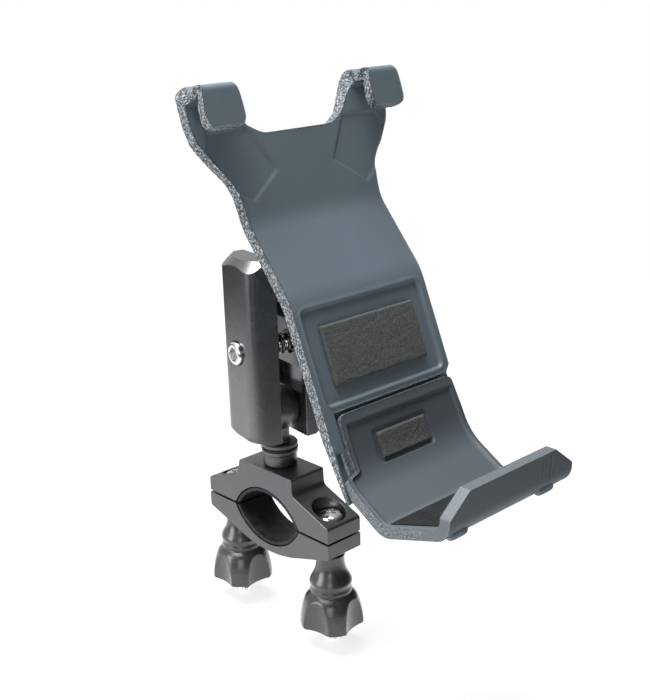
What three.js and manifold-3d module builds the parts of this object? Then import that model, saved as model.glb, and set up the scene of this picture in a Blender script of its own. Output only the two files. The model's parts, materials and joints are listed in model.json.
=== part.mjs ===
// Phone handlebar mount: split clamp, double-ball arm and a spring-jaw phone cradle.
// Millimetres. +X runs along the handlebar, -Y faces the rider, +Z is up.
// The origin is the centre of the handlebar bore.
import * as THREE from "three";
import { mergeVertices } from "three/addons/utils/BufferGeometryUtils.js";
import Module from "manifold-3d";

const wasm = await Module();
wasm.setup();

// ---------------------------------------------------------------- driving dimensions
// General
const gap = 0.3; // between pieces that seat on each other
const runningGap = 0.5; // between pieces that move past each other
const segments = 28; // facets round a small turned piece

// Handlebar clamp
const clampWidth = 16.3; // along the bar
const clampReach = 34; // ear end from the bar's centre
const splitGap = 0.8; // between the two halves
const boreHalfChord = 18.5; // half the opening at the split
const boreRise = 11.3; // crown of each arc above the split
const linerWall = 1.5;
const blockHalf = 15; // half the raised block that carries the stud
const blockTop = 19.7;
const earEndHeight = 6.2; // thickness of each ear at its end
const earRootHeight = 13.2; // height of the upper ear where it meets the block
const bowWall = 2.8; // lower half under the bore
const bowFlank = 19; // where the lower ear meets the bow
const bowFlankDepth = 10.6;
const boltSpacing = 52.4; // between the two clamp bolts
const boltDiameter = 6;
const boltHeadDiameter = 10.6;
const boltHeadHeight = 3;
const spotFaceClearance = 0.9; // round the head or the knob in its round pocket
const spotFaceLevel = 4.8;
const knobSeatLevel = 8.2; // underside of the lower ear at the knob

// Star knobs
const knobHeight = 28.8;
const knobNeckDiameter = 10.7;
const knobCollarDiameter = 16;
const knobSkirtDiameter = 23.8;
const knobLobes = 4;
const knobSkirtHeight = 14;
const scallopRadius = 15.1; // round cut between each two lobes
const scallopReach = 9.3; // its bottom from the knob's axis
const knobFrontTurn = 56.7; // degrees from +X to a lobe
const knobRearTurn = 44;
const insertWall = 0.9; // brass nut moulded into the knob, from its hole to its flats
const insertLength = 12;
const insertSink = 0.6; // nut face above the knob's lower face
const boltStickOut = 7; // bolt end below the knob

// Ball studs
const ballDiameter = 17;
const ballHeight = 42.1; // lower ball centre above the bar's centre
const neckDiameter = 8;
const collarDiameter = 13.6;
const collarHeight = 4.6;
const studBaseDiameter = 12.7;
const collarDrop = 13.1; // ball centre to the collar
const grooveDepth = 1;
const grooveHeight = 1.3;
const studThread = 8;
const studThreadLength = 6;

// Arm
const armYaw = THREE.MathUtils.degToRad(-8);
const ballSpacing = 49.2;
const armHalfGap = 5.4; // inner face from the arm's middle plane
const armHalfThickness = 11;
const armHalfWidth = 10.8; // half the arm's width
const armEnd = 9.6; // arm end beyond the ball centre
const armCorner = 5.4; // radius of the outer corners
const armEndFacets = 72;
const armEndFlat = 14.25; // radius of each end's flat face; the corners beyond it fall away at 45 degrees
const socketClearance = 0.3;
const pocketDepth = 3.4; // relief between the sockets and the middle land
const pocketWall = 2.5;
const landHalf = 8.4; // half the height of the middle land
const armBoltDiameter = 5;
const armHeadDiameter = 8.5;
const armHeadHeight = 3.6;
const armHeadProud = 1.6;
const springDiameter = 8.4;
const springWire = 1.1;
const springSeat = 4; // depth of the spring's seat in each half
const nutAcross = 8;
const nutHeight = 4;
const nutProud = 1;

// Cradle ball stud and its base
const cradleNeckDiameter = 7;
const cradleCollarDrop = 15.2;
const cradleCollarHeight = 2.3;
const baseDrop = 19.5; // ball centre to the base's face
const baseDiameter = 30;
const baseThickness = 4;
const baseScrewCircle = 22;
const baseScrews = 4;
const screwDiameter = 3;
const screwHead = 5.5;
const screwHeadHeight = 2.4;
const screwLength = 10;
const pedestalDiameter = 32;

// Cradle plate
const plateThickness = 4;
const upperTilt = THREE.MathUtils.degToRad(18.3); // from vertical
const shoulderTilt = THREE.MathUtils.degToRad(39.2);
const panelTilt = THREE.MathUtils.degToRad(22.3);
const standoff = 37.1; // upper ball centre to the shoulder's front face
const studBelowBend = 6; // stud axis below the upper bend, along the shoulder
const shoulderLength = 29.4;
const upperLength = 28; // bend to the valley between the two arms
const hookRise = 17.5; // valley to the top of the hooks
const panelLength = 37;
const railLength = 66; // panel top to the wedge end of the rails
const railFrontLength = 49.5; // panel top to the end of the left rail's front layer
const railTaperStart = 44; // panel top to where the rails begin to taper from behind
const railTip = 1.2; // thickness of the left rail at its end
const railWall = 0.7; // outer wall of the left rail beside the notch
const plateHalfWidth = 30.5;
const waistHalfWidth = 30.2;
const armTipHalfWidth = 43.4;
const valleyHalfWidth = 14;
const railWidth = 4.5;
const railBackThickness = 1.7;
const panelCorner = 2.4; // chamfer at the panel's lower right corner
const hookInner = 28.3; // inner side of each hook from the middle
const hookDepth = 9.6; // finger front face in front of the plate
const fingerThickness = 3.4;
const fingerDrop = 16; // finger tip below the hook's top
const hookRoof = 3.6;
const recessHalfWidth = 27.3;
const recessDepth = 1.2;
const recessTop = 3.4; // below the panel's top edge
const recessBottom = 34.4;
const channelDepth = 0.7; // shallow channel along each arm
const padHalfWidth = 21.6;
const padTop = 9.4;
const padBottom = 29.5;
const padThickness = 1.8;
const padCorner = 1.2;

// Jaw housing behind the panel
const housingHalfWidth = 20;
const housingTop = 2; // below the panel's top edge
const housingLength = 34;
const housingDepth = 9;
const housingWall = 2;
const earLength = 7; // screw ears at the housing's sides
const earThickness = 3;
const coverScrewLength = 5.2;
const rodSpacing = 22;
const rodDiameter = 3;
const clipDiameter = 6;
const clipHeight = 1.6;
const jawSpringDiameter = 5.6;
const jawSpringWire = 0.8;

// Jaw
const jawTop = 38.3; // below the panel's top edge
const jawProud = 1; // in front of the panel
const jawWall = 4;
const jawShoulder = 57.5; // where the jaw widens to its full width
const jawHalfWidth = 29.9;
const jawTongue = 1.1; // lip that closes the gap under the panel
const jawBlockHalf = 15; // block behind the jaw that holds the guide rods
const jawBlockLength = 11;
const jawKnee = 58.8; // where the flat part and the sloping wall would meet
const jawKneeReach = 6.8; // how far the bend eats into each of them
const slopeAngle = THREE.MathUtils.degToRad(36.7); // sloping wall, from the panel's plane
const slopeLength = 18.9;
const floorAngle = THREE.MathUtils.degToRad(4.9); // fall of the floor away from the panel
const floorLength = 21.3;
const lipCornerReach = 2.4;
const lipLength = 10.6; // inner height of the lip
const lipHalfWidth = 21;
const lipCorner = 7; // height of the lip's sloping corners
const matThickness = 1;
const matHalfWidth = 26;
const jawPadHalfWidth = 11.6;
const jawPadTop = 47.6;
const jawPadBottom = 56.6;
const jawPadThickness = 1.5;
const jawRecess = 0.8;
const jawBand = 2.3; // raised band at each side of the recess
const jawRecessTop = 42.3;

// ---------------------------------------------------------------- derived places
const boltY = boltSpacing / 2;
const boreArcRadius = (boreHalfChord ** 2 + boreRise ** 2) / (2 * boreRise);
const boreArcCentre = boreRise - boreArcRadius;
const halfSplit = splitGap / 2;
const shankLow = -(knobSeatLevel + gap + knobHeight + boltStickOut);
const upperBallHeight = ballHeight + ballSpacing;
const armThicknessOut = armHalfGap + armHalfThickness;
const boltAlongArm = ballSpacing / 2;
const boltHole = boltDiameter + 2 * gap;
const armBoltHole = armBoltDiameter + 2 * gap;
const spotFace = boltHeadDiameter + 2 * spotFaceClearance;
const insertAcross = boltHole + 2 * insertWall;
const jawRailHalf = plateHalfWidth - railWidth - runningGap;

// A point of the cradle's side profile, as (y, z).
const along = (from, tilt, distance) =>
  new THREE.Vector2(
    from.x + Math.sin(tilt) * distance,
    from.y + Math.cos(tilt) * distance,
  );
const outward = (from, tilt, distance) =>
  new THREE.Vector2(
    from.x - Math.cos(tilt) * distance,
    from.y + Math.sin(tilt) * distance,
  );
const upperBall = new THREE.Vector2(0, upperBallHeight);
const shoulderFoot = outward(upperBall, shoulderTilt, standoff);
const bend = along(shoulderFoot, shoulderTilt, studBelowBend);
const panelTop = along(bend, shoulderTilt, -shoulderLength);
const valley = along(bend, upperTilt, upperLength);
const hookTop = along(valley, upperTilt, hookRise);
const railEnd = along(panelTop, panelTilt, -railLength);

// ---------------------------------------------------------------- geometry helpers
const finish = {
  anodised: () => new THREE.MeshStandardMaterial({ color: 0x2b2e30, roughness: 0.42, metalness: 0.8 }),
  chrome: () => new THREE.MeshStandardMaterial({ color: 0xd5d8da, roughness: 0.18, metalness: 1 }),
  steel: () => new THREE.MeshStandardMaterial({ color: 0x8d9093, roughness: 0.35, metalness: 1 }),
  brass: () => new THREE.MeshStandardMaterial({ color: 0xb08d45, roughness: 0.35, metalness: 1 }),
  rubber: () => new THREE.MeshStandardMaterial({ color: 0x151617, roughness: 0.85, metalness: 0 }),
  knob: () => new THREE.MeshStandardMaterial({ color: 0x1c1e20, roughness: 0.38, metalness: 0 }),
  nylon: () => new THREE.MeshStandardMaterial({ color: 0x5d6b76, roughness: 0.62, metalness: 0 }),
  foam: () => new THREE.MeshStandardMaterial({ color: 0x454846, roughness: 0.95, metalness: 0 }),
};

function solid(geometry) {
  const bare = geometry.clone();
  bare.deleteAttribute("normal");
  bare.deleteAttribute("uv");
  const merged = mergeVertices(bare, 1e-4);
  return new wasm.Manifold(
    new wasm.Mesh({
      numProp: 3,
      vertProperties: new Float32Array(merged.attributes.position.array),
      triVerts: new Uint32Array(merged.index.array),
    }),
  );
}

function meshOf(name, body, material) {
  const data = body.getMesh();
  const geometry = new THREE.BufferGeometry();
  const positions = new Float32Array(data.numVert * 3);
  for (let i = 0; i < data.numVert; i++) {
    for (let k = 0; k < 3; k++) positions[3 * i + k] = data.vertProperties[data.numProp * i + k];
  }
  geometry.setAttribute("position", new THREE.BufferAttribute(positions, 3));
  geometry.setIndex(new THREE.BufferAttribute(new Uint32Array(data.triVerts), 1));
  geometry.computeVertexNormals();
  const mesh = new THREE.Mesh(geometry, material());
  mesh.name = name;
  return mesh;
}

const point = (x, y) => new THREE.Vector2(x, y);

// A flat outline given thickness along the third axis of its own plane.
function prism(outline, depth) {
  const shape = outline instanceof THREE.Shape ? outline : new THREE.Shape(outline);
  return new THREE.ExtrudeGeometry(shape, { depth, bevelEnabled: false, curveSegments: 10 });
}

// A (y, z) side profile carried along X, centred on X = 0.
function alongX(outline, width) {
  const basis = new THREE.Matrix4().makeBasis(
    new THREE.Vector3(0, 1, 0),
    new THREE.Vector3(0, 0, 1),
    new THREE.Vector3(1, 0, 0),
  );
  return solid(prism(outline, width).applyMatrix4(basis).translate(-width / 2, 0, 0));
}

// An (x, z) front outline carried along Y from yLow to yHigh.
function alongY(outline, yLow, yHigh) {
  const basis = new THREE.Matrix4().makeBasis(
    new THREE.Vector3(1, 0, 0),
    new THREE.Vector3(0, 0, 1),
    new THREE.Vector3(0, -1, 0),
  );
  return solid(prism(outline, yHigh - yLow).applyMatrix4(basis).translate(0, yHigh, 0));
}

function box(width, depth, height, x = 0, y = 0, z = 0) {
  return solid(new THREE.BoxGeometry(width, depth, height).translate(x, y, z));
}

// A cylinder along Z from z = low to z = high.
function rod(diameter, low, high, facets = segments, x = 0, y = 0) {
  const geometry = new THREE.CylinderGeometry(diameter / 2, diameter / 2, high - low, facets);
  return solid(geometry.rotateX(Math.PI / 2).translate(x, y, (low + high) / 2));
}

// A turned piece about Z from (radius, z) pairs listed from the bottom up.
function turned(pairs, facets = segments) {
  const profile = pairs.map(([radius, z]) => point(radius, z));
  return solid(new THREE.LatheGeometry(profile, facets).rotateX(Math.PI / 2));
}

function ball(diameter, facets = segments) {
  return solid(new THREE.SphereGeometry(diameter / 2, facets, facets / 2).rotateX(Math.PI / 2));
}

function hexagon(across, low, high) {
  return rod(across / Math.cos(Math.PI / 6), low, high, 6);
}

const mirrorX = (body) => body.mirror([1, 0, 0]);

// A rectangle with rounded corners in the plane of a plate, as a shape.
function roundedRectangle(halfWidth, low, high, radius) {
  const shape = new THREE.Shape();
  shape.moveTo(-halfWidth + radius, low);
  shape.lineTo(halfWidth - radius, low);
  shape.absarc(halfWidth - radius, low + radius, radius, -Math.PI / 2, 0);
  shape.lineTo(halfWidth, high - radius);
  shape.absarc(halfWidth - radius, high - radius, radius, 0, Math.PI / 2);
  shape.lineTo(-halfWidth + radius, high);
  shape.absarc(-halfWidth + radius, high - radius, radius, Math.PI / 2, Math.PI);
  shape.lineTo(-halfWidth, low + radius);
  shape.absarc(-halfWidth + radius, low + radius, radius, Math.PI, 1.5 * Math.PI);
  return shape;
}

// ---------------------------------------------------------------- handlebar clamp
// The arc of the bore, or of a liner inside it, from +chord to -chord.
function boreArc(inset, sign, count = 20) {
  const radius = boreArcRadius - inset;
  const level = halfSplit;
  const reach = Math.acos(Math.min(1, (level - boreArcCentre) / radius));
  return Array.from({ length: count + 1 }, (_, i) => {
    const angle = reach - (2 * reach * i) / count;
    return point(radius * Math.sin(angle), sign * (boreArcCentre + radius * Math.cos(angle)));
  });
}

function clampUpper() {
  const outline = [
    point(-clampReach, halfSplit),
    ...boreArc(0, 1).reverse(),
    point(clampReach, halfSplit),
    point(clampReach, earEndHeight),
    point(blockHalf + gap, earRootHeight),
    point(blockHalf, blockTop - 1),
    point(blockHalf - 1, blockTop),
    point(1 - blockHalf, blockTop),
    point(-blockHalf, blockTop - 1),
    point(-blockHalf - gap, earRootHeight),
    point(-clampReach, earEndHeight),
  ];
  let body = alongX(outline, clampWidth);
  for (const side of [-1, 1]) {
    body = body.subtract(rod(boltHole, -1, blockTop, segments, 0, side * boltY));
    body = body.subtract(rod(spotFace, spotFaceLevel, blockTop, segments, 0, side * boltY));
  }
  const threadFloor = blockTop - studThreadLength - gap;
  return body.subtract(rod(studThread + 2 * gap, threadFloor, blockTop + 1));
}

function clampLower() {
  const bottom = boreRise + bowWall;
  const bow = Array.from({ length: 13 }, (_, i) => {
    const t = -1 + i / 6;
    const y = bowFlank * t;
    return point(y, -(bottom + (bowFlankDepth - bottom) * t * t));
  });
  const outline = [
    point(-clampReach, -halfSplit),
    point(-clampReach, -earEndHeight),
    ...bow,
    point(clampReach, -earEndHeight),
    point(clampReach, -halfSplit),
    ...boreArc(0, -1),
  ];
  let body = alongX(outline, clampWidth);
  for (const side of [-1, 1]) {
    body = body.subtract(rod(boltHole, -blockTop, 1, segments, 0, side * boltY));
    body = body.subtract(rod(spotFace, -blockTop, -knobSeatLevel, segments, 0, side * boltY));
  }
  return body;
}

function liner(sign) {
  const outer = boreArc(gap, sign);
  const inner = boreArc(gap + linerWall, sign).reverse();
  const outline = sign > 0 ? [...outer, ...inner].reverse() : [...outer, ...inner];
  return alongX(outline, clampWidth - 2 * gap);
}

function clampBolt() {
  const headBottom = spotFaceLevel + gap;
  const headTop = headBottom + boltHeadHeight;
  const head = turned([
    [0, headBottom],
    [boltHeadDiameter / 2, headBottom],
    [boltHeadDiameter / 2, headBottom + 1],
    [boltHeadDiameter / 2 - 1, headTop - 0.5],
    [boltHeadDiameter / 2 - 2.6, headTop],
    [0, headTop],
  ]);
  const recessWidth = 1.3;
  const recessSpan = 5;
  const recess = box(recessSpan, recessWidth, 3, 0, 0, headTop).add(
    box(recessWidth, recessSpan, 3, 0, 0, headTop),
  );
  return head.add(rod(boltDiameter, shankLow, headBottom + 1)).subtract(recess);
}

function starKnob(turn) {
  const top = -(knobSeatLevel + gap);
  const bottom = top - knobHeight;
  const skirtTop = bottom + knobSkirtHeight;
  const body = turned(
    [
      [0, bottom],
      [knobSkirtDiameter / 2 - 0.4, bottom],
      [knobSkirtDiameter / 2, bottom + 0.6],
      [knobSkirtDiameter / 2 - 0.2, bottom + 3],
      [knobSkirtDiameter / 2 - 1.1, bottom + 7.8],
      [knobSkirtDiameter / 2 - 2.4, skirtTop - 2.5],
      [knobCollarDiameter / 2 - 0.5, skirtTop - 0.3],
      [knobCollarDiameter / 2 - 0.2, skirtTop],
      [knobCollarDiameter / 2 - 0.2, skirtTop + 1.4],
      [knobCollarDiameter / 2, skirtTop + 3.5],
      [knobCollarDiameter / 2 - 0.5, skirtTop + 4.8],
      [knobNeckDiameter / 2 + 0.6, skirtTop + 8.6],
      [knobNeckDiameter / 2, top - 3.2],
      [knobNeckDiameter / 2 + 0.2, top],
      [0, top],
    ],
    48,
  );
  let cut = body;
  const reach = scallopReach + scallopRadius;
  for (let i = 0; i < knobLobes; i++) {
    const angle = (turn * Math.PI) / 180 + (2 * Math.PI * (i + 0.5)) / knobLobes;
    const at = [reach * Math.cos(angle), reach * Math.sin(angle)];
    cut = cut.subtract(rod(2 * scallopRadius, bottom - 1, skirtTop - 0.6, 64, ...at));
  }
  const insertTop = bottom + insertLength;
  cut = cut.subtract(rod(boltHole, bottom - 1, top + 1));
  return cut.subtract(hexagon(insertAcross + 2 * gap, bottom - 1, insertTop + gap));
}

function knobInsert() {
  const bottom = -(knobSeatLevel + gap + knobHeight);
  return hexagon(insertAcross, bottom + insertSink, bottom + insertLength).subtract(
    rod(boltHole, bottom - 1, bottom + insertLength + 1),
  );
}

// ---------------------------------------------------------------- ball studs
// Ball at the origin, neck and collar below it; the groove holds a rubber ring.
function ballStud() {
  const seat = -(ballHeight - blockTop - gap);
  const collarLow = -collarDrop - collarHeight;
  const grooveTop = -collarDrop - 1.6;
  const profile = [
    [0, seat - studThreadLength],
    [studThread / 2, seat - studThreadLength],
    [studThread / 2, seat],
    [studBaseDiameter / 2, seat],
    [studBaseDiameter / 2, collarLow],
    [collarDiameter / 2, collarLow],
    [collarDiameter / 2, grooveTop - grooveHeight],
    [collarDiameter / 2 - grooveDepth, grooveTop - grooveHeight],
    [collarDiameter / 2 - grooveDepth, grooveTop],
    [collarDiameter / 2, grooveTop],
    [collarDiameter / 2, -collarDrop - 0.5],
    [collarDiameter / 2 - 0.5, -collarDrop],
    [neckDiameter / 2, -collarDrop],
    [neckDiameter / 2, 0],
    [0, 0],
  ];
  return turned(profile).add(ball(ballDiameter));
}

function studRing() {
  const top = -collarDrop - 1.6 - gap / 2;
  const low = top - grooveHeight + gap;
  const inner = collarDiameter / 2 - grooveDepth + gap;
  return turned([
    [inner, low],
    [collarDiameter / 2 + 0.2, low],
    [collarDiameter / 2 + 0.2, top],
    [inner, top],
    [inner, low],
  ]);
}

// Ball at the origin, axis towards the cradle along +Z.
function cradleBallStud() {
  const collarTop = cradleCollarDrop + cradleCollarHeight;
  const seat = baseDrop - gap;
  const shankEnd = baseDrop + baseThickness + 5;
  return turned([
    [0, 0],
    [cradleNeckDiameter / 2, 0],
    [cradleNeckDiameter / 2, cradleCollarDrop],
    [collarDiameter / 2 - 0.5, cradleCollarDrop],
    [collarDiameter / 2, cradleCollarDrop + 0.5],
    [collarDiameter / 2, collarTop],
    [studBaseDiameter / 2, collarTop],
    [studBaseDiameter / 2, seat],
    [boltDiameter / 2, seat],
    [boltDiameter / 2, shankEnd],
    [0, shankEnd],
  ]).add(ball(ballDiameter));
}

const baseHoles = (diameter, low, high) =>
  Array.from({ length: baseScrews }, (_, i) => {
    const angle = Math.PI / 4 + (i * 2 * Math.PI) / baseScrews;
    const reach = baseScrewCircle / 2;
    return rod(diameter, low, high, 16, reach * Math.cos(angle), reach * Math.sin(angle));
  });

function cradleBase() {
  const top = baseDrop + baseThickness;
  let body = turned([
    [0, baseDrop],
    [baseDiameter / 2 - 0.8, baseDrop],
    [baseDiameter / 2, baseDrop + 0.8],
    [baseDiameter / 2, top],
    [0, top],
  ]);
  for (const hole of baseHoles(screwDiameter + 2 * gap, baseDrop - 1, top + 1)) body = body.subtract(hole);
  return body.subtract(rod(boltHole, baseDrop - 1, top + 1));
}

// Pan-head screw along Z: the head sits below `seat`, the shank runs up from it.
function panScrew(seat, length) {
  const head = turned([
    [0, seat - screwHeadHeight],
    [screwHead / 2 - 1, seat - screwHeadHeight],
    [screwHead / 2, seat - screwHeadHeight + 1],
    [screwHead / 2, seat],
    [0, seat],
  ], 16);
  const recess = box(2.6, 0.8, 2, 0, 0, seat - screwHeadHeight).add(
    box(0.8, 2.6, 2, 0, 0, seat - screwHeadHeight),
  );
  return head.add(rod(screwDiameter, seat - 1, seat + length, 16)).subtract(recess);
}

// ---------------------------------------------------------------- arm
// The arm stands along Z with its lower ball at the origin; sign picks the -X or +X half.
function armHalf(sign) {
  const outer = armThicknessOut;
  const inner = armHalfGap;
  const side = armHalfWidth;
  const section = new THREE.Shape();
  section.moveTo(inner, -side);
  section.lineTo(outer - armCorner, -side);
  section.absarc(outer - armCorner, armCorner - side, armCorner, -Math.PI / 2, 0);
  section.lineTo(outer, side - armCorner);
  section.absarc(outer - armCorner, side - armCorner, armCorner, 0, Math.PI / 2);
  section.lineTo(inner, side);
  const length = ballSpacing + 2 * armEnd;
  const bar = solid(prism(section, length).translate(0, 0, -armEnd));
  const reach = outer + side;
  const fall = reach - armEndFlat;
  const top = length - armEnd;
  const blank = turned(
    [
      [0, -armEnd],
      [armEndFlat, -armEnd],
      [reach, fall - armEnd],
      [reach, top - fall],
      [armEndFlat, top],
      [0, top],
    ],
    armEndFacets,
  );
  let body = bar.intersect(blank);
  for (const centre of [0, ballSpacing]) {
    body = body.subtract(ball(ballDiameter + 2 * socketClearance).translate([0, 0, centre]));
  }
  const pocketLow = ballDiameter / 2 - 2;
  const pocketHigh = boltAlongArm - landHalf;
  const pocketMiddle = (pocketLow + pocketHigh) / 2;
  for (const middle of [pocketMiddle, ballSpacing - pocketMiddle]) {
    const width = 2 * (armHalfWidth - pocketWall);
    body = body.subtract(box(2 * pocketDepth, width, pocketHigh - pocketLow, armHalfGap, 0, middle));
  }
  const across = (tool) => tool.rotate([0, 90, 0]).translate([0, 0, boltAlongArm]);
  body = body.subtract(across(rod(armBoltHole, 0, outer + 1)));
  body = body.subtract(across(rod(springDiameter + 2 * gap, 0, armHalfGap + springSeat)));
  const headRecess = outer - (armHeadHeight - armHeadProud) - gap;
  const nutRecess = outer - (nutHeight - nutProud) - gap;
  const recess =
    sign < 0
      ? rod(armHeadDiameter + 2 * gap, headRecess, outer + 1)
      : hexagon(nutAcross + 2 * gap, nutRecess, outer + 1);
  body = body.subtract(across(recess));
  return sign < 0 ? mirrorX(body) : body;
}

// Socket cap screw through both halves, its head on the -X side.
function armBolt() {
  const headFace = -(armThicknessOut + armHeadProud);
  const headSeat = headFace + armHeadHeight;
  const end = armThicknessOut + 1.2;
  const head = turned([
    [0, headFace],
    [armHeadDiameter / 2 - 0.5, headFace],
    [armHeadDiameter / 2, headFace + 0.5],
    [armHeadDiameter / 2, headSeat],
    [0, headSeat],
  ]);
  return head
    .add(rod(armBoltDiameter, headSeat - 1, end))
    .subtract(hexagon(4, headFace - 1, headFace + 2.4))
    .rotate([0, 90, 0]);
}

function armNut() {
  const seat = armThicknessOut - (nutHeight - nutProud);
  return hexagon(nutAcross, seat, seat + nutHeight)
    .subtract(rod(armBoltDiameter + 2 * gap, seat - 1, seat + nutHeight + 1))
    .rotate([0, 90, 0]);
}

// A spring as a plain sleeve along Z.
function sleeve(outer, wire, low, high, facets = 20) {
  return rod(outer, low, high, facets).subtract(rod(outer - 2 * wire, low - 1, high + 1, facets));
}

// ---------------------------------------------------------------- cradle plate
// Band between two offsets of the front surface, as a (y, z) outline.
function profileBand(front, back) {
  const surface = (offset) => {
    const list = [];
    const kneeUpper = (upperTilt + shoulderTilt) / 2;
    const kneePanel = (panelTilt + shoulderTilt) / 2;
    const mitreUpper = offset / Math.cos((shoulderTilt - upperTilt) / 2);
    const mitrePanel = offset / Math.cos((shoulderTilt - panelTilt) / 2);
    list.push(outward(hookTop, upperTilt, offset));
    list.push(outward(bend, kneeUpper, mitreUpper));
    list.push(outward(panelTop, kneePanel, mitrePanel));
    list.push(outward(railEnd, panelTilt, offset));
    return list;
  };
  return [...surface(front), ...surface(back).reverse()];
}

// Half outline of the plate seen from the front, as (x, z), from the rail end up to the valley.
function frontOutline() {
  const up = (distance) => valley.y + Math.cos(upperTilt) * distance;
  const tip = armTipHalfWidth;
  const right = [
    [plateHalfWidth, railEnd.y - 1],
    [plateHalfWidth, panelTop.y],
    [waistHalfWidth, bend.y],
    [waistHalfWidth + 0.8, up(-18)],
    [waistHalfWidth + 4.6, up(-11)],
    [tip - 4, up(-5)],
    [tip - 1, up(0)],
    [tip, up(5)],
    [tip, up(hookRise - 4)],
    [tip - 3, up(hookRise)],
    [hookInner + 4, up(hookRise)],
    [hookInner + 0.5, up(hookRise - 3)],
    [hookInner - 4.3, up(8)],
    [valleyHalfWidth + 7, up(3.6)],
    [valleyHalfWidth + 3.6, up(1.4)],
    [valleyHalfWidth, up(0)],
  ];
  const left = right.map(([x, z]) => [-x, z]).reverse();
  return [...right, ...left].map(([x, z]) => point(x, z));
}

const behind = 60; // far behind and in front of the plate, for cutting right through it
const ahead = -140;

// Places a solid drawn flat (x, up the plate, outward) on a section whose front line passes `from`.
function onPlate(body, from, tilt) {
  return body.rotate([90 - THREE.MathUtils.radToDeg(tilt), 0, 0]).translate([0, from.x, from.y]);
}

// A rounded rectangle on the panel, from `deep` to `high` along its outward normal.
function panelSlab(halfWidth, top, bottom, deep, high, radius = 2) {
  const shape = roundedRectangle(halfWidth, -bottom, -top, radius);
  return onPlate(solid(prism(shape, high - deep).translate(0, 0, deep)), panelTop, panelTilt);
}

// One hook: roof and finger in front of the arm's tip, drawn on the upper section.
function hook() {
  const width = armTipHalfWidth - hookInner;
  const middle = (armTipHalfWidth + hookInner) / 2;
  const top = hookRise - 1.5;
  const side = new THREE.Shape();
  side.moveTo(-1, top - hookRoof);
  side.lineTo(hookDepth - fingerThickness - 1, top - hookRoof);
  side.lineTo(hookDepth - fingerThickness, top - hookRoof - 1);
  side.lineTo(hookDepth - fingerThickness, hookRise - fingerDrop);
  side.lineTo(hookDepth - 0.8, hookRise - fingerDrop);
  side.lineTo(hookDepth, hookRise - fingerDrop + 1.2);
  side.lineTo(hookDepth, top - 1.6);
  side.lineTo(hookDepth - 1.4, top);
  side.lineTo(hookDepth - 4, top);
  side.lineTo(2, top - 1);
  side.lineTo(-1, top);
  const basis = new THREE.Matrix4().makeBasis(
    new THREE.Vector3(0, 0, 1),
    new THREE.Vector3(0, 1, 0),
    new THREE.Vector3(-1, 0, 0),
  );
  const slab = prism(side, width).applyMatrix4(basis).translate(middle + width / 2, 0, 0);
  const corners = roundedRectangle(width / 2, hookRise - fingerDrop - 0.01, hookRise + 1, 2.4);
  const trim = solid(prism(corners, 40).translate(middle, 0, -20));
  return onPlate(solid(slab).intersect(trim), valley, upperTilt);
}

// Shallow channel that follows each arm towards its hook, cut into the front face.
function armChannel() {
  const up = (distance) => valley.y + Math.cos(upperTilt) * distance;
  const outline = [
    point(13, up(-12.6)),
    point(26, up(-21)),
    point(31, up(-17.6)),
    point(39.4, up(-3.2)),
    point(34, up(0)),
    point(21.5, up(2.4)),
  ];
  return alongY(outline, ahead, behind).intersect(
    alongX(profileBand(10, -channelDepth), 2 * armTipHalfWidth),
  );
}

function pedestal() {
  const low = baseDrop + baseThickness + gap;
  const high = standoff + 2;
  let body = rod(pedestalDiameter, low, high, 36);
  for (const hole of baseHoles(screwDiameter + 2 * gap, low - 1, baseDrop + screwLength + 0.6)) {
    body = body.subtract(hole);
  }
  body = body.subtract(rod(boltHole, low - 1, baseDrop + baseThickness + 5.6));
  return body;
}

const onStud = (body) =>
  body
    .rotate([90 - THREE.MathUtils.radToDeg(shoulderTilt), 0, 0])
    .translate([0, 0, upperBallHeight]);

const coverScrewPlaces = [
  [-1, housingTop + earLength / 2 + 3],
  [1, housingTop + earLength / 2 + 3],
  [-1, housingTop + housingLength - earLength / 2 - 3],
  [1, housingTop + housingLength - earLength / 2 - 3],
].map(([side, down]) => [side * (housingHalfWidth + earLength / 2 + gap), -down]);

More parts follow.
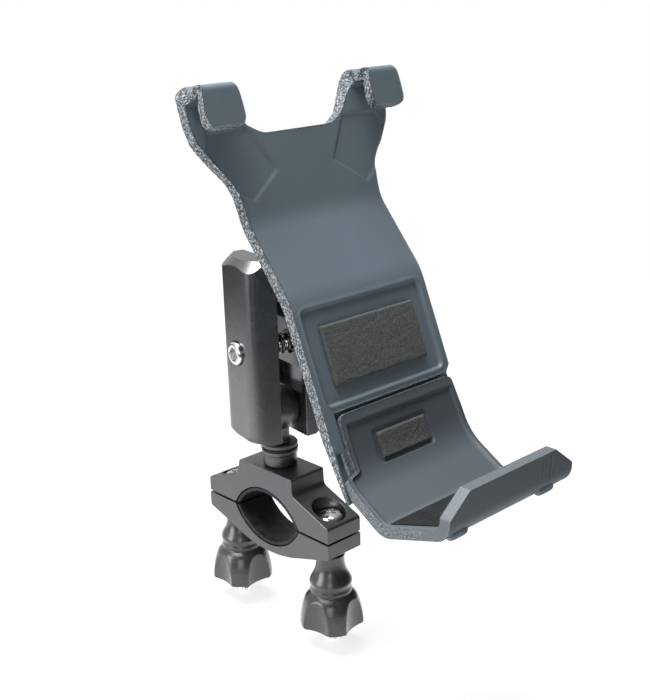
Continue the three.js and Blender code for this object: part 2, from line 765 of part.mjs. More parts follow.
function cradlePlate() {
  const full = alongX(profileBand(0, -plateThickness), 2 * armTipHalfWidth + 2);
  let body = full.intersect(alongY(frontOutline(), ahead, behind));
  const jawWindow = railLength + 20;
  const opening = 2 * (plateHalfWidth - railWidth);
  body = body.subtract(
    onPlate(box(opening, jawWindow, 60, 0, -panelLength - jawWindow / 2, 0), panelTop, panelTilt),
  );
  const railFloor = railBackThickness - plateThickness;
  for (const [side, frontEnd, outer] of [
    [-1, railFrontLength, plateHalfWidth - railWall],
    [1, panelLength, plateHalfWidth + 1],
  ]) {
    const inner = plateHalfWidth - railWidth - 1;
    const middle = (side * (inner + outer)) / 2;
    const cut = box(outer - inner, jawWindow, 20, middle, -frontEnd - jawWindow / 2, 10 + railFloor);
    body = body.subtract(onPlate(cut, panelTop, panelTilt));
  }
  const taper = [
    panelPoint(-plateThickness, -railTaperStart),
    panelPoint(-railTip, -railLength),
    panelPoint(-railTip, -railLength - 5),
    panelPoint(-3 * plateThickness, -railLength - 5),
    panelPoint(-3 * plateThickness, -railTaperStart),
  ];
  body = body.subtract(alongX(taper, 2 * plateHalfWidth + 2));
  const corner = box(4 * panelCorner, 2 * panelCorner, 20, 0, -panelCorner, 10 + railFloor)
    .rotate([0, 0, 45])
    .translate([plateHalfWidth - panelCorner / 2, -panelLength + panelCorner / 2, 0]);
  body = body.subtract(onPlate(corner, panelTop, panelTilt));
  body = body.subtract(panelSlab(recessHalfWidth, recessTop, recessBottom, -recessDepth, 5, 1.5));
  const right = armChannel();
  body = body.subtract(right).subtract(mirrorX(right));
  body = body.add(hook()).add(mirrorX(hook()));
  const infront = alongX(profileBand(30, -plateThickness / 2), 2 * pedestalDiameter);
  body = body.add(onStud(pedestal()).subtract(infront));
  for (const [x, y] of coverScrewPlaces) {
    const hole = rod(screwDiameter + 2 * gap, -plateThickness - 1, -recessDepth - 0.6, 16, x, y);
    body = body.subtract(onPlate(hole, panelTop, panelTilt));
  }
  return body;
}

// ---------------------------------------------------------------- jaw housing
const housingBack = -(plateThickness + gap + housingDepth);
const rodLevel = -(plateThickness + gap + (housingDepth - housingWall) / 2);
const housingBottom = -(housingTop + housingLength);

function backCover() {
  const front = -(plateThickness + gap);
  const middle = (front + housingBack) / 2;
  const centreUp = -(housingTop + housingLength / 2);
  let body = box(2 * housingHalfWidth, housingLength, housingDepth, 0, centreUp, middle);
  const inside = 2 * (housingHalfWidth - housingWall);
  body = body.subtract(
    box(inside, housingLength - 2 * housingWall, housingDepth, 0, centreUp, middle + housingWall),
  );
  for (const [x, y] of coverScrewPlaces) {
    const ear = box(earLength + 1, earLength, earThickness, x - Math.sign(x), y, front - earThickness / 2);
    body = body.add(ear);
  }
  body = body.subtract(
    box(inside, housingLength - 2 * housingWall, housingDepth, 0, centreUp, middle + housingWall),
  );
  for (const [x, y] of coverScrewPlaces) {
    body = body.subtract(rod(screwDiameter + 2 * gap, front - earThickness - 1, front + 1, 16, x, y));
  }
  for (const side of [-1, 1]) {
    const hole = rod(rodDiameter + 2 * runningGap, -4, 4, 16).rotate([90, 0, 0]);
    body = body.subtract(hole.translate([(side * rodSpacing) / 2, housingBottom + 1, rodLevel]));
  }
  return body;
}

function coverScrew() {
  return panScrew(-(plateThickness + gap + earThickness + gap), coverScrewLength);
}

const rodTop = -(housingTop + housingWall + 2.5);
const rodBottom = -(jawTop + jawBlockLength - 1.5);

const guideRod = () => rod(rodDiameter, rodBottom, rodTop, 16).rotate([-90, 0, 0]);

const rodClip = () =>
  rod(clipDiameter, rodTop - 2 - clipHeight, rodTop - 2, 20)
    .subtract(rod(rodDiameter + 2 * gap, rodTop - 10, rodTop, 16))
    .rotate([-90, 0, 0]);

const jawSpring = () =>
  sleeve(
    jawSpringDiameter, jawSpringWire,
    housingBottom + housingWall + gap, rodTop - 2 - clipHeight - gap,
  ).rotate([-90, 0, 0]);

// ---------------------------------------------------------------- jaw
// A point given on the panel's own axes, outward and up the plate, as (y, z).
const panelPoint = (out, up) => along(outward(panelTop, panelTilt, out), panelTilt, up);

// The jaw's inner surface as a line on the panel's own axes, from its top edge to the lip.
function jawInner() {
  const slope = point(Math.sin(slopeAngle), -Math.cos(slopeAngle));
  const floor = point(Math.cos(floorAngle), -Math.sin(floorAngle));
  const rise = point(Math.sin(panelTilt), Math.cos(panelTilt));
  const knee = point(jawProud, -jawKnee);
  const kneeStart = point(jawProud, jawKneeReach - jawKnee);
  const kneeEnd = knee.clone().addScaledVector(slope, jawKneeReach);
  const heel = knee.clone().addScaledVector(slope, slopeLength);
  const toe = heel.clone().addScaledVector(floor, floorLength + lipCornerReach);
  const toeStart = toe.clone().addScaledVector(floor, -lipCornerReach);
  const toeEnd = toe.clone().addScaledVector(rise, lipCornerReach);
  const lipTop = toe.clone().addScaledVector(rise, lipLength);
  const kneeCurve = new THREE.QuadraticBezierCurve(kneeStart, knee, kneeEnd);
  const toeCurve = new THREE.QuadraticBezierCurve(toeStart, toe, toeEnd);
  const back = [point(jawProud, -jawTop), ...kneeCurve.getPoints(6), heel];
  return { line: [...back, ...toeCurve.getPoints(4), lipTop], back, heel, toeStart, lipTop };
}

// Moves an open line sideways, to its right-hand side, and keeps its corners mitred.
function offsetLine(list, distance) {
  return list.map((p, i) => {
    const into = i > 0 ? p.clone().sub(list[i - 1]) : list[1].clone().sub(p);
    const out = i < list.length - 1 ? list[i + 1].clone().sub(p) : into;
    const mean = into.clone().normalize().add(out.clone().normalize()).normalize();
    const reach = distance / mean.dot(into.clone().normalize());
    return point(p.x + mean.y * reach, p.y - mean.x * reach);
  });
}

const toWorld = (list) => list.map((p) => panelPoint(p.x, p.y));

function jaw() {
  const inner = jawInner();
  const outline = toWorld([...inner.line, ...offsetLine(inner.line, jawWall).reverse()]);
  let body = alongX(outline, 2 * jawHalfWidth);
  const sideWidth = 20;
  const sideLength = 40;
  const besideLeft = -(jawRailHalf + sideWidth / 2);
  const notch = box(sideWidth, sideLength, 40, besideLeft, sideLength / 2 - jawShoulder, 0);
  body = body.subtract(onPlate(notch, panelTop, panelTilt));
  const railFace = railBackThickness - plateThickness + runningGap;
  const besideWall = railWall + runningGap - plateHalfWidth - sideWidth / 2;
  for (const [x, face] of [[besideLeft, railFace], [-besideLeft, railFace], [besideWall, runningGap]]) {
    const railCut = box(sideWidth, railLength, 20, x, -railLength / 2 - 2, face - 10);
    body = body.subtract(onPlate(railCut, panelTop, panelTilt));
  }
  const tongueTop = -(panelLength + gap);
  const tongue = box(
    2 * jawRailHalf, tongueTop + jawTop + 1, jawTongue,
    0, (tongueTop - jawTop - 1) / 2, jawProud - jawWall + jawTongue / 2,
  );
  body = body.add(onPlate(tongue, panelTop, panelTilt));
  const lipLevel = panelPoint(inner.lipTop.x, inner.lipTop.y);
  for (const side of [-1, 1]) {
    const corner = [
      point(side * lipHalfWidth, lipLevel.y + 0.01),
      point(side * jawHalfWidth, lipLevel.y - lipCorner),
      point(side * (jawHalfWidth + 1), lipLevel.y - lipCorner),
      point(side * (jawHalfWidth + 1), lipLevel.y + 5),
      point(side * lipHalfWidth, lipLevel.y + 5),
    ];
    body = body.subtract(alongY(corner, ahead, lipLevel.x + 6));
  }
  const recessLine = [point(jawProud, -jawRecessTop), ...inner.back.slice(1), inner.toeStart];
  const band = toWorld([...offsetLine(recessLine, -6), ...offsetLine(recessLine, jawRecess).reverse()]);
  let recess = alongX(band, 2 * (jawHalfWidth - jawBand));
  const keepMiddle = -(jawRailHalf - jawBand + sideWidth / 2);
  const keep = box(sideWidth, sideLength, 60, keepMiddle, sideLength / 2 - jawShoulder - 1, 0);
  recess = recess.subtract(onPlate(keep, panelTop, panelTilt));
  body = body.subtract(recess);
  const blockDepth = rodDiameter + 4;
  const blockBack = rodLevel - blockDepth / 2;
  const blockFront = jawProud - jawWall + 1;
  const block = box(
    2 * jawBlockHalf, jawBlockLength, blockFront - blockBack,
    0, -(jawTop + jawBlockLength / 2), (blockFront + blockBack) / 2,
  );
  body = body.add(onPlate(block, panelTop, panelTilt));
  for (const side of [-1, 1]) {
    const hole = rod(rodDiameter + 2 * gap, rodBottom - gap, -jawTop + 1, 16).rotate([-90, 0, 0]);
    body = body.subtract(
      onPlate(hole.translate([(side * rodSpacing) / 2, 0, rodLevel]), panelTop, panelTilt),
    );
  }
  return body;
}

// Thin mat glued on the trough's floor.
function jawFloorMat() {
  const { heel, toeStart } = jawInner();
  const floor = toeStart.clone().sub(heel).normalize();
  const start = heel.clone().addScaledVector(floor, 1.2);
  const end = toeStart.clone().addScaledVector(floor, -0.8);
  const line = [start, end];
  const low = offsetLine(line, jawRecess - gap);
  const high = offsetLine(line, jawRecess - gap - matThickness);
  return alongX(toWorld([...high, ...low.reverse()]), 2 * matHalfWidth);
}

// Small pad that follows the jaw's bend.
function jawPad() {
  const { back } = jawInner();
  const under = jawRecess - gap;
  const band = [...offsetLine(back, under - jawPadThickness), ...offsetLine(back, under).reverse()];
  const outline = panelSlab(jawPadHalfWidth, jawPadTop, jawPadBottom, -5, 10, padCorner);
  return alongX(toWorld(band), 2 * jawPadHalfWidth).intersect(outline);
}

function panelPad() {
  const under = gap - recessDepth;
  return panelSlab(padHalfWidth, padTop, padBottom, under, under + padThickness, padCorner);
}

// ---------------------------------------------------------------- assembly
const mount = new THREE.Group();

const clamp = new THREE.Group();
clamp.add(meshOf("clamp_upper", clampUpper(), finish.anodised));
clamp.add(meshOf("clamp_lower", clampLower(), finish.anodised));
clamp.add(meshOf("liner_upper", liner(1), finish.rubber));
clamp.add(meshOf("liner_lower", liner(-1), finish.rubber));
for (const [end, side, turn] of [["front", -1, knobFrontTurn], ["rear", 1, knobRearTurn]]) {
  const station = new THREE.Group();
  station.position.y = side * boltY;
  station.add(meshOf("clamp_bolt_" + end, clampBolt(), finish.chrome));
  station.add(meshOf("star_knob_" + end, starKnob(turn), finish.knob));
  station.add(meshOf("knob_insert_" + end, knobInsert(), finish.brass));
  clamp.add(station);
}
mount.add(clamp);

const lowerBall = new THREE.Group();
lowerBall.position.z = ballHeight;
lowerBall.add(meshOf("ball_stud", ballStud(), finish.anodised));
lowerBall.add(meshOf("stud_ring", studRing(), finish.rubber));
const arm = new THREE.Group();
arm.rotation.z = armYaw;
arm.add(meshOf("arm_half_left", armHalf(-1), finish.anodised));
arm.add(meshOf("arm_half_right", armHalf(1), finish.anodised));
const armScrew = new THREE.Group();
armScrew.position.z = boltAlongArm;
const springReach = armHalfGap + springSeat - gap;
const armSpring = sleeve(springDiameter, springWire, -springReach, springReach).rotate([0, 90, 0]);
armScrew.add(meshOf("arm_bolt", armBolt(), finish.chrome));
armScrew.add(meshOf("arm_nut", armNut(), finish.steel));
armScrew.add(meshOf("arm_spring", armSpring, finish.steel));
arm.add(armScrew);
lowerBall.add(arm);
mount.add(lowerBall);

const cradle = new THREE.Group();
const stud = new THREE.Group();
stud.position.z = upperBallHeight;
stud.rotation.x = Math.PI / 2 - shoulderTilt;
stud.add(meshOf("cradle_ball_stud", cradleBallStud(), finish.anodised));
stud.add(meshOf("cradle_base", cradleBase(), finish.anodised));
for (let i = 0; i < baseScrews; i++) {
  const angle = Math.PI / 4 + (i * 2 * Math.PI) / baseScrews;
  const reach = baseScrewCircle / 2;
  const screw = meshOf("base_screw_" + (i + 1), panScrew(baseDrop - gap, screwLength), finish.steel);
  screw.position.set(reach * Math.cos(angle), reach * Math.sin(angle), 0);
  stud.add(screw);
}
cradle.add(stud);
cradle.add(meshOf("cradle_plate", cradlePlate(), finish.nylon));
cradle.add(meshOf("panel_pad", panelPad(), finish.foam));

const behindPanel = new THREE.Group();
behindPanel.position.set(0, panelTop.x, panelTop.y);
behindPanel.rotation.x = Math.PI / 2 - panelTilt;
behindPanel.add(meshOf("back_cover", backCover(), finish.nylon));
coverScrewPlaces.forEach(([x, y], i) => {
  const screw = meshOf("cover_screw_" + (i + 1), coverScrew(), finish.steel);
  screw.position.set(x, y, 0);
  behindPanel.add(screw);
});
for (const [end, side] of [["left", -1], ["right", 1]]) {
  const place = new THREE.Group();
  place.position.set((side * rodSpacing) / 2, 0, rodLevel);
  place.add(meshOf("jaw_spring_" + end, jawSpring(), finish.steel));
  place.add(meshOf("guide_rod_" + end, guideRod(), finish.steel));
  place.add(meshOf("rod_clip_" + end, rodClip(), finish.steel));
  behindPanel.add(place);
}
cradle.add(behindPanel);
cradle.add(meshOf("jaw", jaw(), finish.nylon));
cradle.add(meshOf("jaw_pad", jawPad(), finish.foam));
cradle.add(meshOf("jaw_floor_mat", jawFloorMat(), finish.rubber));
mount.add(cradle);

export default mount;
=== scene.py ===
"""Phone handlebar mount: split clamp, double-ball arm and a cradle with a sprung lower jaw.

Every length inside the classes is in millimetres; a piece is turned into metres as its mesh is made.
"""

import json
import logging
import math
from dataclasses import dataclass
from enum import Enum
from typing import Any, Callable, Sequence

import bpy
import numpy as np
from mathutils import Matrix, Vector


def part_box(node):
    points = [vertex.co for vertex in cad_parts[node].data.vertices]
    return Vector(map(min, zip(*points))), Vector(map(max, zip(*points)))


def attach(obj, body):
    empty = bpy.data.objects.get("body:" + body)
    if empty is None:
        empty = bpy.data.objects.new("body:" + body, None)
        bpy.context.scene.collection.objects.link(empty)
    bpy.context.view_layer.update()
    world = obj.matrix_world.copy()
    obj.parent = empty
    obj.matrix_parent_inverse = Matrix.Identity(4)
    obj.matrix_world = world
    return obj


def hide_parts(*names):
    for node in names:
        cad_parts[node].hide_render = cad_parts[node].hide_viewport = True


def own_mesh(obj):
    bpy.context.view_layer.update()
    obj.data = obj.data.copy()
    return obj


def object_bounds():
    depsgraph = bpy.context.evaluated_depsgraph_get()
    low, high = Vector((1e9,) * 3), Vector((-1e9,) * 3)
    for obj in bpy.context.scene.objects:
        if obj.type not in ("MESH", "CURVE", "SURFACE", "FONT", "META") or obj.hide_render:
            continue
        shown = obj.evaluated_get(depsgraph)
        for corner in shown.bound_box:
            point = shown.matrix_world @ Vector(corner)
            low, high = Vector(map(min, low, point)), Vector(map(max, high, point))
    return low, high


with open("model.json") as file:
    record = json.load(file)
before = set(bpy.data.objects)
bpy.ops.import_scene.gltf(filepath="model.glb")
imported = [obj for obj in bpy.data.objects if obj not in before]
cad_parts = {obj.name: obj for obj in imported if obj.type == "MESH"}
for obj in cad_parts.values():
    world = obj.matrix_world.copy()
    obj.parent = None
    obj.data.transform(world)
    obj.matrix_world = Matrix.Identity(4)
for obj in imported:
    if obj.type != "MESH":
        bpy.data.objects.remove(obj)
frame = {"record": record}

log = logging.getLogger("handlebar_mount")

Array = np.ndarray
MM = 0.001
THROUGH = 40  # how far a cutter runs to either side when it goes right through a piece
SCREW_HOLE = 1.8  # radius of the holes for the pan-head screws
CAD_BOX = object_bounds()


# ------------------------------------------------------------------------------------ shader maths
class Wire:
    """A shader socket on which plain arithmetic adds Math nodes."""

    def __init__(self, graph: "Graph", socket: bpy.types.NodeSocket) -> None:
        """Keeps the socket and the graph that it belongs to."""
        self.graph = graph
        self.socket = socket

    def _maths(self, operation: str, first: Any, second: Any) -> "Wire":
        """Adds one Math node for `first operation second`."""
        return self.graph.node("ShaderNodeMath", {"operation": operation}, {0: first, 1: second})

    def __add__(self, other: Any) -> "Wire":
        """self + other."""
        return self._maths("ADD", self, other)

    def __radd__(self, other: Any) -> "Wire":
        """other + self."""
        return self._maths("ADD", other, self)

    def __sub__(self, other: Any) -> "Wire":
        """self - other."""
        return self._maths("SUBTRACT", self, other)

    def __rsub__(self, other: Any) -> "Wire":
        """other - self."""
        return self._maths("SUBTRACT", other, self)

    def __mul__(self, other: Any) -> "Wire":
        """self * other."""
        return self._maths("MULTIPLY", self, other)

    def __rmul__(self, other: Any) -> "Wire":
        """other * self."""
        return self._maths("MULTIPLY", other, self)

    def __pow__(self, other: Any) -> "Wire":
        """self to the power of other."""
        return self._maths("POWER", self, other)


class Graph:
    """A material and the nodes in it."""

    def __init__(self, name: str) -> None:
        """Makes an empty node material called `name`."""
        self.material = bpy.data.materials.new(name)
        self.material.use_nodes = True
        self.tree = self.material.node_tree
        self.tree.nodes.clear()

    def node(
        self,
        kind: str,
        settings: dict[str, Any] | None = None,
        sockets: dict[int | str, Any] | None = None,
        output: int | str = 0,
    ) -> Wire | None:
        """Adds a node.

        Args:
            kind: the node's type name.
            settings: attributes set before the sockets; "stops" fills a colour ramp.
            sockets: value or Wire for each named or numbered input.
            output: the output that is handed back.

        Returns:
            The chosen output as a Wire, or None from a node without outputs.
        """
        made = self.tree.nodes.new(kind)
        for key, value in (settings or {}).items():
            if key == "stops":
                self._fill_ramp(made.color_ramp, value)
            else:
                setattr(made, key, value)
        for key, value in (sockets or {}).items():
            if isinstance(value, Wire):
                self.tree.links.new(value.socket, made.inputs[key])
            else:
                made.inputs[key].default_value = value
        return Wire(self, made.outputs[output]) if made.outputs else None

    @staticmethod
    def _fill_ramp(ramp: bpy.types.ColorRamp, stops: Sequence[tuple[float, float]]) -> None:
        """Gives a ramp its (position, grey level) stops."""
        while len(ramp.elements) < len(stops):
            ramp.elements.new(0.5)
        for element, (position, level) in zip(ramp.elements, stops):
            element.position = position
            element.color = (level, level, level, 1.0)

    def place(self) -> Wire:
        """The point being shaded in millimetres, in the piece's own coordinates."""
        spot = self.node("ShaderNodeTexCoord", output="Object")
        return self.node("ShaderNodeMapping", {}, {"Vector": spot, "Scale": (1 / MM,) * 3})

    def stretched(self, where: Wire, scale: tuple[float, float, float]) -> Wire:
        """`where` scaled by a different number along each axis."""
        return self.node("ShaderNodeMapping", {}, {"Vector": where, "Scale": scale})

    def noise(self, where: Wire, scale: float, detail: float = 3.0, roughness: float = 0.55) -> Wire:
        """Fractal noise with `scale` features to the millimetre."""
        return self.node(
            "ShaderNodeTexNoise",
            {},
            {"Vector": where, "Scale": scale, "Detail": detail, "Roughness": roughness},
        )

    def ramp(self, value: Wire, stops: Sequence[tuple[float, float]]) -> Wire:
        """A grey ramp over `value`."""
        return self.node("ShaderNodeValToRGB", {"stops": stops}, {0: value})

    def blend(self, factor: Any, first: Any, second: Any) -> Wire:
        """The colour between `first` and `second`."""
        return self.node(
            "ShaderNodeMix", {"data_type": "RGBA"}, {0: factor, 6: first, 7: second}, output=2
        )

    def bump(self, height: Wire, distance: float, strength: float = 1.0, under: Wire | None = None) -> Wire:
        """A bump of `distance` millimetres for heights from 0 to 1, over the normal `under`."""
        sockets: dict[int | str, Any] = {
            "Height": height,
            "Distance": distance * MM,
            "Strength": strength,
        }
        if under is not None:
            sockets["Normal"] = under
        return self.node("ShaderNodeBump", {}, sockets)

    def finish(self, **sockets: Any) -> bpy.types.Material:
        """Closes the graph with a Principled shader whose sockets are given by name."""
        named = {key.replace("_", " "): value for key, value in sockets.items()}
        shader = self.node("ShaderNodeBsdfPrincipled", {}, named)
        self.node("ShaderNodeOutputMaterial", {}, {"Surface": shader})
        return self.material


Colour = tuple[float, float, float]


def opaque(colour: Colour) -> tuple[float, float, float, float]:
    """A colour with full alpha."""
    return (*colour, 1.0)


# ----------------------------------------------------------------------------------------- finishes
@dataclass(frozen=True)
class Anodised:
    """Satin black anodised aluminium over a fine bead-blasted surface."""

    name: str = "anodised_black"
    dark: Colour = (0.085, 0.090, 0.095)
    light: Colour = (0.115, 0.121, 0.127)
    metal: float = 0.88
    roughness: float = 0.34
    grain: float = 7.0

    def build(self) -> bpy.types.Material:
        """The finished material."""
        graph = Graph(self.name)
        where = graph.place()
        cloud = graph.noise(where, 0.12, 4.0)
        fine = graph.noise(where, self.grain, 2.0)
        colour = graph.blend(cloud, opaque(self.dark), opaque(self.light))
        rough = self.roughness - 0.05 + fine * 0.08 + cloud * 0.04
        return graph.finish(
            Base_Color=colour,
            Metallic=self.metal,
            Roughness=rough,
            Normal=graph.bump(fine, 0.02, 0.35),
        )


@dataclass(frozen=True)
class Plated:
    """Bright or dull plated metal with faint turning marks and worn patches."""

    name: str
    colour: Colour
    roughness: float
    marks: float = 0.04
    patch: float = 0.08

    def build(self) -> bpy.types.Material:
        """The finished material."""
        graph = Graph(self.name)
        where = graph.place()
        lines = graph.noise(graph.stretched(where, (0.4, 0.4, 9.0)), 1.2, 2.0)
        patches = graph.noise(where, 0.5, 4.0)
        dull = tuple(0.82 * c for c in self.colour)
        colour = graph.blend(patches, opaque(self.colour), opaque(dull))
        return graph.finish(
            Base_Color=colour,
            Metallic=1.0,
            Roughness=self.roughness - 0.5 * self.patch + patches * self.patch + lines * self.marks,
            Normal=graph.bump(lines, 0.01, 0.3),
        )


@dataclass(frozen=True)
class Rubber:
    """Black moulded rubber with a fine matt skin and a trace of dust."""

    name: str = "rubber_black"
    dark: Colour = (0.010, 0.011, 0.012)
    dust: Colour = (0.022, 0.023, 0.025)

    def build(self) -> bpy.types.Material:
        """The finished material."""
        graph = Graph(self.name)
        where = graph.place()
        skin = graph.noise(where, 5.0, 3.0)
        dust = graph.ramp(graph.noise(where, 0.3, 5.0), ((0.45, 0.0), (0.75, 1.0)))
        return graph.finish(
            Base_Color=graph.blend(dust, opaque(self.dark), opaque(self.dust)),
            Roughness=0.34 + skin * 0.16,
            Specular_IOR_Level=0.12,
            Normal=graph.bump(skin, 0.03, 0.5),
        )


@dataclass(frozen=True)
class KnobPlastic:
    """Satin black moulded plastic: spark-eroded grain and slightly polished high spots."""

    name: str = "knob_plastic"
    dark: Colour = (0.013, 0.015, 0.017)
    light: Colour = (0.026, 0.029, 0.032)
    roughness: float = 0.25

    def build(self) -> bpy.types.Material:
        """The finished material."""
        graph = Graph(self.name)
        where = graph.place()
        grain = graph.noise(where, 6.0, 2.0)
        cloud = graph.noise(where, 0.25, 3.0)
        return graph.finish(
            Base_Color=graph.blend(cloud, opaque(self.dark), opaque(self.light)),
            Roughness=self.roughness - 0.04 + grain * 0.08 + cloud * 0.06,
            Coat_Weight=0.35,
            Coat_Roughness=0.2,
            Normal=graph.bump(grain, 0.02, 0.35),
        )


@dataclass(frozen=True)
class Nylon:
    """Blue-grey moulded nylon: satin faces, and a coarse light and dark grain on the rims."""

    name: str = "nylon_blue_grey"
    face: Colour = (0.088, 0.113, 0.134)
    shade: Colour = (0.071, 0.093, 0.111)
    crumb: Colour = (0.34, 0.37, 0.40)
    pit: Colour = (0.008, 0.012, 0.015)
    roughness: float = 0.5

    def build(self) -> bpy.types.Material:
        """The finished material."""
        graph = Graph(self.name)
        where = graph.place()
        rim = graph.node("ShaderNodeAttribute", {"attribute_name": "rim"}, output="Fac")
        cloud = graph.noise(where, 0.05, 4.0)
        flow = graph.noise(graph.stretched(where, (0.5, 0.08, 0.08)), 1.0, 3.0)
        skin = graph.noise(where, 4.5, 3.0)
        mottled = cloud * 0.6 + flow * 0.4
        face = graph.blend(mottled, opaque(self.face), opaque(self.shade))
        grain = graph.noise(where, 1.5, 3.0, 0.75)
        speck = graph.ramp(grain, ((0.48, 0.0), (0.62, 1.0)))
        rough_side = graph.blend(speck, opaque(self.pit), opaque(self.crumb))
        soft = graph.bump(skin, 0.03, 0.4)
        coarse = graph.bump(grain * rim, 0.8, 0.9, soft)
        return graph.finish(
            Base_Color=graph.blend(rim * 0.85, face, rough_side),
            Roughness=self.roughness - 0.05 + skin * 0.08 + mottled * 0.06 + rim * 0.14,
            Normal=coarse,
        )


@dataclass(frozen=True)
class Foam:
    """Charcoal foam rubber: open cells with pale specks, and a painted highlight along the top edge."""

    name: str = "foam_charcoal"
    dark: Colour = (0.028, 0.031, 0.031)
    mid: Colour = (0.066, 0.071, 0.070)
    # colour of the foam's pale specks, and also of the painted highlight along the top edge
    fleck: Colour = (0.16, 0.168, 0.165)

    def build(self) -> bpy.types.Material:
        """The finished material."""
        graph = Graph(self.name)
        where = graph.place()
        cells = graph.node("ShaderNodeTexVoronoi", {"feature": "F1"}, {"Vector": where, "Scale": 2.6})
        grit = graph.noise(where, 2.2, 4.0, 0.7)
        tone = graph.blend(
            graph.ramp(grit, ((0.36, 0.0), (0.66, 1.0))), opaque(self.dark), opaque(self.mid)
        )
        flecks = graph.ramp(graph.noise(where, 3.4, 1.0), ((0.62, 0.0), (0.70, 1.0)))
        # painted highlight: the rim attribute marks a thin band inside the pad's top edge, lightened
        # towards the fleck colour as if it caught the light from above
        edge = graph.node("ShaderNodeAttribute", {"attribute_name": "rim"}, output="Fac")
        return graph.finish(
            Base_Color=graph.blend(flecks * 0.55 + edge * 0.12, tone, opaque(self.fleck)),
            Roughness=0.9 + cells * 0.08,
            Normal=graph.bump(cells * 0.6 + grit * 0.5, 0.28, 0.8),
        )


@dataclass(frozen=True)
class PaleFloor:
    """A plain pale studio floor that keeps a soft shadow."""

    name: str = "studio_floor"
    paint: float = 0.86
    glow_share: float = 0.78
    glow_from: float = 180.0
    glow_full: float = 700.0
    bright_spot: tuple[float, float, float] = (-60.0, 100.0, 0.0)
    spot_core: float = 170.0
    spot_edge: float = 400.0
    dark_tone: float = 0.03
    bright_tone: float = 1.5

    def build(self) -> bpy.types.Material:
        """The finished material."""
        graph = Graph(self.name)
        path = graph.node("ShaderNodeLightPath", output="Is Camera Ray")
        shiny = graph.node("ShaderNodeLightPath", output="Is Glossy Ray")
        clear = graph.node("ShaderNodeLightPath", output="Is Transmission Ray")
        matt = graph.node("ShaderNodeBsdfDiffuse", {}, {"Color": opaque((self.paint,) * 3)})
        seen = graph.node("ShaderNodeMath", {"operation": "ADD", "use_clamp": True}, {0: path, 1: clear})
        away = graph.node(
            "ShaderNodeVectorMath", {"operation": "LENGTH"}, {0: graph.place()}, output="Value"
        )
        far = graph.node(
            "ShaderNodeMapRange",
            {"interpolation_type": "SMOOTHSTEP"},
            {
                "Value": away,
                "From Min": self.glow_from,
                "From Max": self.glow_full,
                "To Min": self.glow_share,
            },
        )
        spread = graph.node(
            "ShaderNodeVectorMath",
            {"operation": "DISTANCE"},
            {0: graph.place(), 1: self.bright_spot},
            output="Value",
        )
        lit = graph.node(
            "ShaderNodeMapRange",
            {"interpolation_type": "SMOOTHSTEP"},
            {"Value": spread, "From Min": self.spot_edge, "From Max": self.spot_core, "To Min": 0.0},
        )
        tone = graph.blend(
            shiny * lit, opaque((self.dark_tone,) * 3), opaque((self.bright_tone,) * 3)
        )
        bright = graph.blend(path, tone, opaque((1.0, 1.0, 1.0)))
        glow = graph.node("ShaderNodeEmission", {}, {"Color": bright, "Strength": 1.0})
        mixed = graph.node("ShaderNodeMixShader", {}, {0: shiny + seen * far, 1: matt, 2: glow})
        graph.node("ShaderNodeOutputMaterial", {}, {"Surface": mixed})
        return graph.material


class Finish(Enum):
    """The finishes by the record's slot name, with what makes each."""

    ANODISED = ("anodised", Anodised())
    ANODISED_SATIN = (
        "anodised",
        Anodised("anodised_satin", (0.12, 0.125, 0.131), (0.155, 0.162, 0.168), 0.92, 0.25),
    )
    CHROME = ("chrome", Plated("plated_bright", (0.78, 0.79, 0.80), 0.15))
    STEEL = ("steel", Plated("plated_steel", (0.52, 0.52, 0.51), 0.30, 0.08, 0.12))
    BLACKENED = ("steel", Plated("blackened_steel", (0.16, 0.16, 0.165), 0.20, 0.05, 0.08))
    BRASS = ("brass", Plated("turned_brass", (0.66, 0.47, 0.18), 0.30, 0.08, 0.12))
    RUBBER = ("rubber", Rubber())
    KNOB = ("knob", KnobPlastic())
    NYLON = ("nylon", Nylon())
    # the jaw's copy of the nylon, darker and greyer: the darkening is painted shade, standing in for the
    # jaw lying darker than the plate under these lamps; the greyer tint is the jaw's own
    NYLON_SHADED = ("nylon", Nylon("nylon_dark_grey", (0.062, 0.074, 0.085), (0.046, 0.056, 0.065)))
    FOAM = ("foam", Foam())

    @property
    def slot(self) -> str:
        """The record's material slot."""
        return self.value[0]


class Wardrobe:
    """Builds each finish's material once and hands it out."""

    def __init__(self) -> None:
        """Starts with no material built."""
        self._made: dict[Finish, bpy.types.Material] = {}

    def __getitem__(self, finish: Finish) -> bpy.types.Material:
        """The material of `finish`."""
        if finish not in self._made:
            self._made[finish] = finish.value[1].build()
        return self._made[finish]


# ------------------------------------------------------------------------------------ surface maths
@dataclass
class Skin:
    """A closed surface: points in millimetres, faces as index arrays, and a mask for its rims."""

    points: Array
    faces: list[Array]
    rim: Array | None = None

    def moved(self, axes: "Axes") -> "Skin":
        """The same surface placed on `axes`."""
        return Skin(axes.place(self.points), self.faces, self.rim)

    def joined(self, other: "Skin") -> "Skin":
        """This surface and another in one mesh."""
        shift = len(self.points)
        own = self.rim if self.rim is not None else np.zeros(shift)
        theirs = other.rim if other.rim is not None else np.zeros(len(other.points))
        return Skin(
            np.concatenate([self.points, other.points]),
            [*self.faces, *(face + shift for face in other.faces)],
            np.concatenate([own, theirs]),
        )


